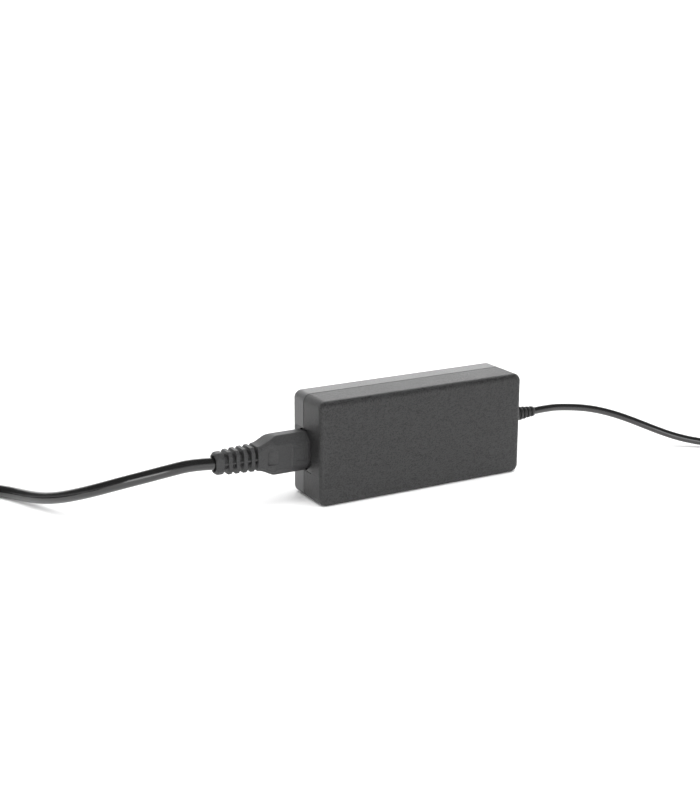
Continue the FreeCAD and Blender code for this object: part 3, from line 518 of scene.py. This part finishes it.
def coilPoints(coil):
    # two layers of turns: in along the floor, then up and out again on top
    start, end = coil["enter"], coil["leave"]
    turns = coil["fullTurns"] + ((end - start) % 360) / 360
    count = round(turns * coil["perTurn"])
    step = math.radians(360 * turns / count)
    points = []
    for k in range(count):
        along = (k + 0.5) / count
        angle = math.radians(start) + (k + 0.5) * step
        inward = 1 - abs(2 * along - 1)
        radius = (coil["outer"] - inward * (coil["outer"] - coil["inner"])) / math.cos(step / 2)
        rise = min(max((along - 0.5) * turns / 0.5 + 0.5, 0), 1)
        rise = rise * rise * (3 - 2 * rise)
        height = coil["low"] + (coil["high"] - coil["low"]) * rise
        x, y = coil["centre"]
        points.append((x + radius * math.cos(angle), y + radius * math.sin(angle), height))
    return points


mainsLead = {
    "diameter": 7.0,
    "length": 0.975,
    "route": [
        (-121.4, 3.8, 28.6), (-133.4, 3.8, 30.0), (-146.8, 4.4, 28.6), (-159.6, 7.5, 26.1),
        (-171.4, 13.5, 22.7), (-181.4, 21.6, 18.4), (-189.4, 31.6, 14.0), (-195.8, 43.0, 9.8),
        (-201.0, 55.4, 6.6), (-205.8, 68.3, 4.7), (-211.2, 81.0, 3.8), (-220.0, 91.9, 3.6),
        (-231.6, 99.7, 3.8), (-245.0, 103.8, 4.3), (-259.0, 103.8, 4.3),
    ],
    "coil": {
        "centre": (-285.5, 62.8), "outer": 41.0, "inner": 29.3, "enter": 90, "leave": 195,
        "fullTurns": 3, "perTurn": 16, "low": 4.3, "high": 11.3,
    },
    "tail": 26.5,
}
outputLead = {
    "diameter": 4.6,
    "length": 1.21,
    "route": [
        (90.8, 3.8, 28.6), (103.0, 3.8, 29.2), (116.5, 3.4, 27.8), (130.5, 1.6, 25.7),
        (144.0, -2.2, 22.2), (157.0, -8.0, 17.2), (169.0, -15.4, 11.6), (180.4, -23.6, 6.8),
        (192.0, -32.2, 3.9), (203.6, -39.6, 3.1), (214.6, -46.5, 3.1),
    ],
    "coil": {
        "centre": (245.74, -28.85), "outer": 31.5, "inner": 16.6, "enter": -122.1, "leave": 0,
        "fullTurns": 6, "perTurn": 16, "low": 3.1, "high": 7.7,
    },
    "end": [
        (277.2, -12.7, 13.0), (277.2, 0.3, 17.3), (268.6, 11.6, 14.2), (254.5, 15.4, 11.2),
        (240.0, 10.4, 12.4), (231.5, -1.6, 15.75), (231.5, -13.5, 15.75),
    ],
}


def mainsTail(lead):
    # straight off the coil, on a tangent, to the wall plug
    coil, angle = lead["coil"], math.radians(lead["coil"]["leave"])
    away = (-math.sin(angle) * lead["tail"], math.cos(angle) * lead["tail"])
    x = coil["centre"][0] + coil["outer"] * math.cos(angle) + away[0]
    y = coil["centre"][1] + coil["outer"] * math.sin(angle) + away[1]
    return [(x, y, coil["high"])]


mainsPoints = mainsLead["route"] + coilPoints(mainsLead["coil"]) + mainsTail(mainsLead)
mainsCord = cordCurve("mainsCord", mainsPoints, mainsLead["diameter"])
place(mainsCord, "mains_lead", "cord_sheath", "mains_cord", "mains_cord_coil")
outputPoints = outputLead["route"] + coilPoints(outputLead["coil"]) + outputLead["end"]
outputCord = cordCurve("outputCord", outputPoints, outputLead["diameter"])
place(outputCord, "adapter", "cord_sheath", "dc_cord", "dc_cord_coil", "dc_cord_end")
print("cords ready")

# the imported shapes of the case, with their edges eased by so many millimetres
place(refined("front_shell", 0.12), "adapter", "case_plastic", "front_shell")
place(refined("rear_shell", 0.12), "adapter", "case_plastic", "rear_shell", finish=rearGrainPaintedLighter)
place(refined("rating_label", 0.05), "adapter", "label_film", "rating_label")
place(refined("inlet_body", 0.2), "adapter", "inlet_plastic", "inlet_body")
print("case ready")

# the connector in the inlet: places along it are measured from the end face of the case
connector = {
    "front": {"height": 22.5, "width": 16.3, "cut": 4.9},  # inside the inlet's mouth
    "sideStep": 0.6,  # raised panel on each side, next to the case
    "stepAt": 11.5,  # from the case's end face
    "shoulderAt": 18.3,
    "neckAt": 30.6,
    "neck": {"height": 14.0, "width": 13.6, "cut": 2.2},
    "tail": {"height": 12.2, "width": 10.4, "cut": 2.6},
    "edge": 1.1,  # round of the long edges
    "noseInset": 0.55,  # drawn in where it enters the inlet
    "ribWidth": 2.25,
    "ribPitch": 4.35,
    "ribs": 4,
    "reliefLength": 24.3,
    "tailBlock": 4.8,
    "throat": {"height": 7.3, "width": 7.3, "cut": 2.1},  # hole in the last block, round the cord
    "coreRadius": 3.95,
    "web": {"thickness": 1.0, "width": 12.2, "taper": 1.1},
    "recess": {"from": 19.2, "to": 25.4, "height": 8.0, "shallow": 7.5, "deep": 5.8},
    "frame": {"from": 2.9, "to": 9.6, "height": 8.3, "line": 0.7, "raise": 0.3},
}


def easedOctagon(x, height, width, cut, edge, steps=3):
    # an eight-sided outline across X whose corners are rounded off
    h, w = height / 2, width / 2
    corners = [
        (w - cut, h), (w, h - cut), (w, cut - h), (w - cut, -h),
        (cut - w, -h), (-w, cut - h), (-w, h - cut), (cut - w, h),
    ]
    points = []
    for k, corner in enumerate(corners):
        spot = Vector(corner)
        before = (Vector(corners[k - 1]) - spot).normalized() * edge * 0.6
        after = (Vector(corners[(k + 1) % 8]) - spot).normalized() * edge * 0.6
        points += [(x, y, z) for y, z in rounding(spot + before, spot + after, spot, steps)]
    return points


def between(first, second, share):
    return {key: first[key] + (second[key] - first[key]) * share for key in first}


def grown(size, change):
    # a section made larger all round, its slanted sides staying parallel
    return {"height": size["height"] + 2 * change, "width": size["width"] + 2 * change, "cut": size["cut"]}


def connectorRings(setup, endFace):
    # sections from inside the inlet to the neck
    front, neck, edge, step = setup["front"], setup["neck"], setup["edge"], setup["sideStep"]
    flat = dict(front, width=front["width"] - 2 * step, cut=front["cut"] - step)
    nose = grown(front, -setup["noseInset"])
    rings = [(-1.9, grown(nose, -0.4)), (-1.6, nose), (0.3, nose), (0.7, grown(front, -0.16)), (1.4, front)]
    rings += [(setup["stepAt"] - 0.5, front), (setup["stepAt"], flat)]
    steps, slantShare = 10, 0.4  # the slanted corners fade out over this share of the shoulder
    for k in range(steps + 1):
        share = k / steps
        at = setup["shoulderAt"] + (setup["neckAt"] - setup["shoulderAt"]) * share
        size = between(flat, neck, share * share * (3 - 2 * share))
        slant = max(1 - share / slantShare, 0)
        size["cut"] = neck["cut"] + (flat["cut"] - neck["cut"]) * slant * slant * (3 - 2 * slant)
        rings.append((at, size))
    last = rings[-1]
    rings.append((last[0] + 0.35, grown(last[1], -0.35)))
    return [easedOctagon(endFace - at, edge=edge, **size) for at, size in rings]


def connectorTailRings(setup, endFace):
    # the last block of the strain relief, rounded at the cord's end
    start = setup["neckAt"] + setup["reliefLength"] - setup["tailBlock"]
    size, edge, rings = setup["tail"], setup["edge"], []
    for at, inset in ((0, 0.3), (0.3, 0), (3.2, 0), (4.0, 0.2), (4.5, 0.5), (4.8, 1.0)):
        rings.append(easedOctagon(endFace - start - at, edge=edge + inset * 0.6, **grown(size, -inset)))
    # and back in again, down the throat
    for at, share in ((4.7, 0.25), (4.3, 0.5), (2.6, 1.0)):
        section = between(grown(size, -1.0), setup["throat"], share)
        rings.append(easedOctagon(endFace - start - at, edge=edge, **section))
    return rings


def boxMesh(name, low, high, taper=0.0):
    # a block between two corners, in millimetres, narrower in Y at its low X end
    def build(work):
        bmesh.ops.create_cube(work, size=1.0)
        for vert in work.verts:
            spot = [low[i] if vert.co[i] < 0 else high[i] for i in range(3)]
            if vert.co.x < 0:
                spot[1] -= taper * (1 if vert.co.y > 0 else -1)
            vert.co = Vector(spot) * mm

    return fromMesh(name, build)


def connectorCutters(setup, endFace):
    # a wedge for the recess on each side, deeper towards the cord
    recess, outer, cutters = setup["recess"], setup["front"]["width"], []
    half = recess["height"] / 2
    for way in (-1, 1):
        ends = []
        for at, floor in ((recess["to"], recess["deep"]), (recess["from"], recess["shallow"])):
            corners = ((floor, -half), (floor, half), (outer, half), (outer, -half))
            ends.append([(endFace - at, way * y, z) for y, z in corners])
        cutters.append(fromMesh("recessCutter", lambda work, ends=ends: skin(work, ends)))
    return cutters


def connectorMark(name, way, setup, endFace):
    # the thin raised frame on one side
    mark, half = setup["frame"], setup["front"]["width"] / 2
    middle, wide = endFace - (mark["from"] + mark["to"]) / 2, (mark["to"] - mark["from"]) / 2
    turns = ((1, 1), (1, -1), (-1, -1), (-1, 1))
    outer, inner = [
        [(middle + x * (wide - inset), z * (mark["height"] / 2 - inset)) for x, z in turns]
        for inset in (0, mark["line"])
    ]
    sunk, raised = half - 0.2, half + mark["raise"]
    levels = [
        [(x, way * side, z) for x, z in ring]
        for ring, side in ((outer, sunk), (outer, raised), (inner, raised), (inner, sunk))
    ]
    piece = fromMesh(name, lambda work: skin(work, levels, closed=True))
    softEdges(piece, 0.06)
    return piece


def makeConnector(setup):
    bodyLow, bodyHigh = span("connector_body")
    caseEnd = span("front_shell")[0].x
    toAxis = shift(0, (bodyLow.y + bodyHigh.y) / 2, (bodyLow.z + bodyHigh.z) / 2)

    def hand(piece, matrix, *replaced):
        place(moved(keepFlats(piece), matrix), "mains_lead", "connector_plastic", *replaced)

    body = fromMesh("connectorBody", lambda work: skin(work, connectorRings(setup, caseEnd)))
    carved(body, *connectorCutters(setup, caseEnd))
    softEdges(body, 0.12, degrees=50)
    hand(body, toAxis, "connector_body")
    hand(connectorMark("connectorFrameFront", -1, setup, caseEnd), toAxis)
    hand(connectorMark("connectorFrameRear", 1, setup, caseEnd), toAxis)

    # strain relief: a core, ribs that taper, a web through them and an end block
    length, pitch, half = setup["reliefLength"], setup["ribPitch"], setup["ribWidth"] / 2
    neckX = caseEnd - setup["neckAt"]
    tailX = neckX - length
    coreRadius = setup["coreRadius"]
    hand(turnedPiece("connectorCore", [(neckX + 1, coreRadius), (tailX + 3, coreRadius)]), toAxis)
    ribAt = neckX - pitch + half
    firstShare = (neckX - ribAt) / length
    lastShare = firstShare + pitch * (setup["ribs"] - 1) / length
    first = between(setup["neck"], setup["tail"], firstShare)
    last = between(setup["neck"], setup["tail"], lastShare)
    insets = [(-half, 0.3), (0.1 - half, 0.08), (0.3 - half, 0)]  # place along the rib, and how far drawn in
    insets += [(half - 0.3, 0), (half - 0.1, 0.08), (half, 0.3)]
    sections = [easedOctagon(x, edge=setup["edge"], **grown(first, -inset)) for x, inset in insets]
    rib = fromMesh("connectorRibs", lambda work: skin(work, sections))
    size = (1, last["width"] / first["width"], last["height"] / first["height"])
    repeated(rib, setup["ribs"], (-pitch, 0, 0), size, "connector_plastic")
    hand(rib, toAxis @ shift(ribAt))
    webHalf, thin = setup["web"]["width"] / 2, setup["web"]["thickness"] / 2
    corners = (tailX + 3, -webHalf, -thin), (neckX + 0.5, webHalf, thin)
    web = boxMesh("connectorWeb", *corners, setup["web"]["taper"])
    softEdges(web, 0.15)
    hand(web, toAxis)
    hand(fromMesh("connectorTail", lambda work: skin(work, connectorTailRings(setup, caseEnd))), toAxis)


makeConnector(connector)
print("mains connector ready")

# where the output cord leaves the case
relief = {
    "length": 24.3, "startRadius": 5.8, "endRadius": 3.0, "coreShare": 0.74, "base": 3.4,
    "rings": 6, "ringWidth": 1.75, "ringPitch": 2.9, "round": 0.55, "tip": 2.2,
    "flange": {"radius": 6.9, "thickness": 1.9}, "wallRadius": 4.95,  # inside the case, and in its wall
}


def makeRelief(setup):
    caseEnd = span("front_shell")[1].x
    _, cordY, cordZ = outputLead["route"][0]
    share, base, end, tip = setup["coreShare"], setup["base"], setup["length"], setup["tip"]
    flange, flangeLow, wall = setup["flange"], span("dc_strain_relief")[0].x, setup["wallRadius"]
    flangeHigh, inset = flangeLow + flange["thickness"], 0.02

    def radius(at):
        return setup["startRadius"] + (setup["endRadius"] - setup["startRadius"]) * at / end

    outside = [
        (inset, radius(0)), (base - 0.5, radius(base)), (base, radius(base) - 0.5),
        (base + inset, radius(base) * share), (end - tip, radius(end - tip) * share),
        (end - tip + inset, radius(end - tip) - 0.25), (end - tip + 0.4, radius(end - tip)),
        (end - 0.6, radius(end) + 0.15), (end - 0.2, radius(end) - 0.1), (end, radius(end) - 0.5),
    ]
    outline = [(flangeLow, flange["radius"]), (flangeHigh, flange["radius"]), (flangeHigh + 0.05, wall)]
    outline += [(caseEnd, wall)] + [(caseEnd + at, r) for at, r in outside]
    core = turnedPiece("outputRelief", outline)
    place(moved(keepFlats(core), shift(0, cordY, cordZ)), "adapter", "relief_rubber", "dc_strain_relief")

    first = base + setup["ringPitch"] - setup["ringWidth"] / 2
    last = first + setup["ringPitch"] * (setup["rings"] - 1)
    big = radius(first)
    ring = crestedRing("outputReliefRings", setup["ringWidth"], big, setup["round"], big * 0.5)
    size = (1, radius(last) / big, radius(last) / big)
    repeated(ring, setup["rings"], (setup["ringPitch"], 0, 0), size, "relief_rubber")
    place(moved(keepFlats(ring), shift(caseEnd + first, cordY, cordZ)), "adapter", "relief_rubber")


makeRelief(relief)
print("output strain relief ready")

# the moulding and the tip ring of the barrel plug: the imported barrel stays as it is
barrelPlug = {
    "radius": 5.75, "neckRadius": 4.5, "collarRadius": 5.3, "length": 22.0, "relief": 15.0,
    "faceRecess": {"radius": 4.5, "depth": 0.5},
    "rings": 4, "ringPitch": 2.6, "ringWidth": 1.6, "ringRadius": 4.0, "ringStart": 4.4, "round": 0.6,
    "lastRing": 0.85,  # size of the last ring, as a share of the first
    "tip": {"radius": 3.7, "bore": 2.5, "length": 1.8, "groove": 3.5},
}


def makeBarrelPlug(setup):
    # turned round a line along Y, with its face towards low Y
    low, high = span("dc_plug_body")
    middle = (low + high) / 2
    toPlug = shift(middle.x, low.y, middle.z) @ spin(90)
    big, neck, collar = setup["radius"], setup["neckRadius"], setup["collarRadius"]
    end = setup["length"] + setup["relief"]
    tailRadius = outputLead["diameter"] / 2 + 0.7
    depth, rim = setup["faceRecess"]["depth"], setup["faceRecess"]["radius"]
    outline = [(depth, 1.0), (depth, rim - 0.1), (0.0, rim + 0.1)]
    outline += rounding((0, big - 0.8), (0.8, big), (0, big))
    outline += [(4, big), (8, big), (11, big - 0.12), (13.5, big - 0.4), (16, big - 0.85)]
    outline += [(18.2, neck + 0.25), (19.6, neck + 0.05), (20.6, neck + 0.05)]
    outline += rounding((20.8, neck + 0.1), (22.2, collar), (21.2, collar))
    outline += rounding((23.6, collar), (24.8, neck - 0.2), (24.8, collar))
    outline += [(25.4, tailRadius), (end - 1.2, tailRadius - 0.25)]
    outline += [(end - 0.3, tailRadius - 0.4), (end, tailRadius - 0.65)]
    body = turnedPiece("barrelPlugBody", outline)
    place(moved(keepFlats(body), toPlug), "adapter", "plug_plastic", "dc_plug_body")

    ringRadius, ringAt = setup["ringRadius"], setup["length"] + setup["ringStart"]
    ring = crestedRing("barrelPlugRings", setup["ringWidth"], ringRadius, setup["round"], ringRadius / 2)
    size = (1, setup["lastRing"], setup["lastRing"])
    repeated(ring, setup["rings"], (setup["ringPitch"], 0, 0), size, "plug_plastic")
    place(moved(keepFlats(ring), toPlug @ shift(ringAt)), "adapter", "plug_plastic")

    tip = setup["tip"]
    front = span("dc_plug_insulator")[0].y - low.y  # the tip's place along the plug, below zero
    back, tipRadius = front + tip["length"], tip["radius"]
    outline = [(back, tip["bore"]), (back, tip["groove"]), (back - 0.35, tip["groove"])]
    outline += [(back - 0.4, tipRadius), (front + 0.5, tipRadius)]
    outline += rounding((front + 0.5, tipRadius), (front, tipRadius - 0.4), (front + 0.1, tipRadius - 0.1))
    outline += [(front, tip["bore"] + 0.35), (front + 0.3, tip["bore"])]
    ring = turnedPiece("barrelPlugTip", outline, closed=True)
    place(moved(keepFlats(ring), toPlug), "adapter", "tip_plastic", "dc_plug_insulator")
    return body, ring


plugParts = makeBarrelPlug(barrelPlug)
print("output plug ready")

# the angled wall plug, which stands on its dome with its pins up
wallPlug = {
    "radius": 18.5, "height": 26.0, "dome": 7.0, "rim": 1.2, "face": 16.75, "turnDegrees": 15.0,
    "faceDepth": 2.9, "neckLength": 27.0, "relief": 20.0,
    "ribs": 4, "ribPitch": 4.4, "ribWidth": 2.4, "ribRadius": 6.2, "ribRoot": 3.0, "round": 0.6,
    "lastRib": 0.82,  # size of the last rib, as a share of the first
    "grip": {"ridges": 5, "half": (5.5, 0.45, 0.6), "pitch": 2.4, "start": 9.5, "last": 0.75},
    "clipSlot": {"floor": 16.3, "bottom": 12.9, "half": 2.6},
}


def ovalRing(y, width, height, count=48):
    # an outline across Y that is squarer than an ellipse
    points, squareness = [], 0.75
    for k in range(count):
        angle = math.tau * k / count
        c, s = math.cos(angle), math.sin(angle)
        x, z = math.copysign(abs(c) ** squareness, c), math.copysign(abs(s) ** squareness, s)
        points.append((x * width, y, z * height))
    return points


def makeWallPlug(setup):
    low, high = span("wall_plug_face")
    cordZ = mainsLead["coil"]["high"]
    toPlug = shift((low.x + high.x) / 2, (low.y + high.y) / 2) @ spin(setup["turnDegrees"])

    def hand(piece, matrix, *replaced):
        return place(moved(keepFlats(piece), matrix), "mains_lead", "plug_plastic", *replaced)

    big, top, dome, steps = setup["radius"], setup["height"], setup["dome"], 8
    face, faceZ = setup["face"], setup["height"] - setup["faceDepth"]
    outline = [(0, 0.6), (0, big - dome)]
    for k in range(1, steps + 1):
        turn = math.pi / 2 * k / steps
        outline.append((dome * (1 - math.cos(turn)), big - dome * (1 - math.sin(turn))))
    outline += [(top - setup["rim"], big)] + rounding((top - 0.8, big), (top, big - 0.8), (top, big))
    outline += [(top, face), (faceZ, face), (faceZ, 0.6)]
    disc = turnedPiece("wallPlugBody", outline, count=96)
    # slots for the earth clips, one on each side
    slot, cutters = setup["clipSlot"], []
    for way in (-1, 1):
        inner, outer = sorted((way * slot["floor"], way * (big + 2)))
        corners = (slot["bottom"], inner, -slot["half"]), (top + 1, outer, slot["half"])
        cutters.append(boxMesh("clipSlotCutter", *corners))
    carved(disc, *cutters)
    hand(disc, toPlug @ spin(-90, "Y"), "wall_plug_body")

    sections = (
        (8.0, 12.5, 9.6), (14.0, 12.0, 9.4), (18.0, 10.6, 8.9), (21.5, 9.0, 8.2),
        (24.5, 7.6, 7.4), (setup["neckLength"], 6.9, 6.8), (setup["neckLength"] + 0.3, 6.5, 6.4),
    )
    neckRings = [[(x, y, z + cordZ) for x, y, z in ovalRing(*section)] for section in sections]
    hand(fromMesh("wallPlugNeck", lambda work: skin(work, neckRings)), toPlug)

    along = toPlug @ shift(0, setup["neckLength"], cordZ) @ spin(90)
    length, cord = setup["relief"], mainsLead["diameter"] / 2
    outline = [(-1, cord + 0.8), (length - 3.6, cord + 0.8), (length - 3.5, cord + 1.5)]
    outline += [(length - 0.8, cord + 1.2), (length - 0.2, cord + 0.9), (length, cord + 0.3)]
    hand(turnedPiece("wallPlugRelief", outline), along)
    ribSizes = setup["ribWidth"], setup["ribRadius"], setup["round"], setup["ribRoot"]
    ring = crestedRing("wallPlugRings", *ribSizes)
    size = (1, setup["lastRib"], setup["lastRib"])
    repeated(ring, setup["ribs"], (setup["ribPitch"], 0, 0), size, "plug_plastic")
    hand(ring, along @ shift(1.6))

    # finger ridges on the side away from the cord
    grip = setup["grip"]
    ridge = boxMesh("wallPlugGrip", [-side for side in grip["half"]], grip["half"])
    softEdges(ridge, 0.3, 3)
    settle(ridge)
    repeated(ridge, grip["ridges"], (0, 0, grip["pitch"]), (grip["last"], 1, 1), "plug_plastic")
    hand(ridge, toPlug @ shift(0, 0.25 - big, grip["start"]))
    return disc


wallPlugBody = makeWallPlug(wallPlug)
print("wall plug ready")

# straps that hold the turns of each coil together
ties = {"thickness": 0.8, "width": 3.5, "corner": 2.4, "head": (5.2, 4.6, 3.4)}


def makeTie(name, nodeName, lead, angleDegrees, body, setup):
    # a moulded strap round the bundle of turns, with its locking head on the outside
    coil, cord = lead["coil"], lead["diameter"] / 2
    inner, outer = coil["inner"] - cord, coil["outer"] + cord
    top = setup["thickness"] + 2 * lead["diameter"]
    wide, tall = (outer - inner) / 2, (top - setup["thickness"]) / 2
    middle = Vector(((inner + outer) / 2, 0, (top + setup["thickness"]) / 2))

    def outline(grow):
        w, h = wide + grow, tall + grow
        r = setup["corner"] if grow else setup["corner"] - setup["thickness"]
        points = []
        for sx, sz, start in ((1, 1, 0), (-1, 1, 90), (-1, -1, 180), (1, -1, 270)):
            for k in range(6):
                turn = math.radians(start + 90 * k / 5)
                points.append((sx * (w - r) + r * math.cos(turn), sz * (h - r) + r * math.sin(turn)))
        return points

    def build(work):
        half = setup["width"] / 2
        inside, outside = outline(0.0), outline(setup["thickness"] - 0.02)
        levels = [
            [(middle.x + x, y, middle.z + z) for x, z in ring]
            for ring, y in ((inside, -half), (outside, -half), (outside, half), (inside, half))
        ]
        skin(work, levels, closed=True)

    strap = fromMesh(name, build)
    softEdges(strap, 0.15, 2, 60)
    turn = shift(*coil["centre"]) @ spin(angleDegrees)
    place(moved(keepFlats(strap), turn), body, "tie_strap", nodeName)
    length, width, height = setup["head"]
    low = (outer, -length / 2, middle.z - width / 2)
    high = (outer + height * 0.45, length / 2, middle.z + width / 2)
    head = boxMesh(name + "Head", low, high)
    softEdges(head, 0.4, 3)
    place(moved(keepFlats(head), turn), body, "tie_strap")


makeTie("mainsTie", "mains_cord_tie", mainsLead, 140, "mains_lead", ties)
makeTie("outputTie", "dc_cord_tie", outputLead, 300, "adapter", ties)
print("ties ready")


def makeStage():
    def build(work):
        corners = ((-7, -7), (7, -7), (7, 9), (-7, 9))  # metres, far past what the camera sees
        work.faces.new([work.verts.new((x, y, 0)) for x, y in corners])

    floor = fromMesh("studioFloor", build)
    material, s = newSurface("paleFloor")
    drift = s.noise(3.0, 2.0)
    colour = s.blend(drift, (0.88, 0.88, 0.88, 1.0), (0.91, 0.91, 0.91, 1.0))
    s.finish(Base_Color=colour, Roughness=0.6 + drift * 0.1)
    floor.data.materials.append(material)


def makeLight(name, spot, aim, size, power):
    data = bpy.data.lights.new(name, "AREA")
    data.shape = "RECTANGLE"
    data.size, data.size_y = size
    data.energy = power
    light = bpy.data.objects.new(name, data)
    bpy.context.scene.collection.objects.link(light)
    light.location = spot
    light.rotation_mode = "QUATERNION"
    light.rotation_quaternion = (Vector(aim) - Vector(spot)).to_track_quat("-Z", "Y")
    light.visible_camera = False


def makeSun(name, heading, strength, spreadDegrees):
    # an even glow from above, out of sight in reflections
    data = bpy.data.lights.new(name, "SUN")
    data.energy = strength
    data.angle = math.radians(spreadDegrees)
    light = bpy.data.objects.new(name, data)
    bpy.context.scene.collection.objects.link(light)
    light.rotation_mode = "QUATERNION"
    light.rotation_quaternion = Vector(heading).to_track_quat("-Z", "Y")
    light.visible_glossy = False


studio = {
    "backGlow": 2.9, "frontGlow": 1.15, "leftShare": 0.4, "overhead": 0.14,  # strengths and a share of one
    "frontTop": 0.16, "backTop": 0.66, "fade": 0.22,  # where the walls end, as the height of a direction
    "sun": {"heading": (0.05, 0.25, -1.0), "strength": 4.2, "spreadDegrees": 75},
    # metres and watts
    "strip": {"spot": (-0.75, -1.34, 0.42), "aim": (0, 0, 0.03), "size": (1.3, 0.6), "power": 11},
}


def makeWorld(setup):
    # bright low walls, brightest at the back, under a dark ceiling
    world = bpy.data.worlds.new("studioWorld")
    world.use_nodes = True
    s = Surface(world.node_tree, "Generated")
    x, y, z = s.axes()
    back = (y * 0.8 + x * 0.5).above(0.25, 0.9)
    glow = setup["frontGlow"] + back * (setup["backGlow"] - setup["frontGlow"])
    left = x.above(0.25, -0.65) * z.above(0.1, 0.2)
    glow = glow * (1 - left * (1 - setup["leftShare"]))
    top = setup["frontTop"] + back * (setup["backTop"] - setup["frontTop"])
    dim = (z - top).above(0.0, setup["fade"])
    strength = glow * (1 - dim) + dim * setup["overhead"]
    shader = s.add("ShaderNodeBackground", None, {"Color": (1, 1, 1, 1), "Strength": strength})
    s.end(shader, "ShaderNodeOutputWorld")
    bpy.context.scene.world = world


makeStage()
makeSun("overheadGlow", **studio["sun"])
makeLight("frontStrip", **studio["strip"])
makeWorld(studio)
bpy.context.scene.view_settings.view_transform = "Standard"
print("stage ready")
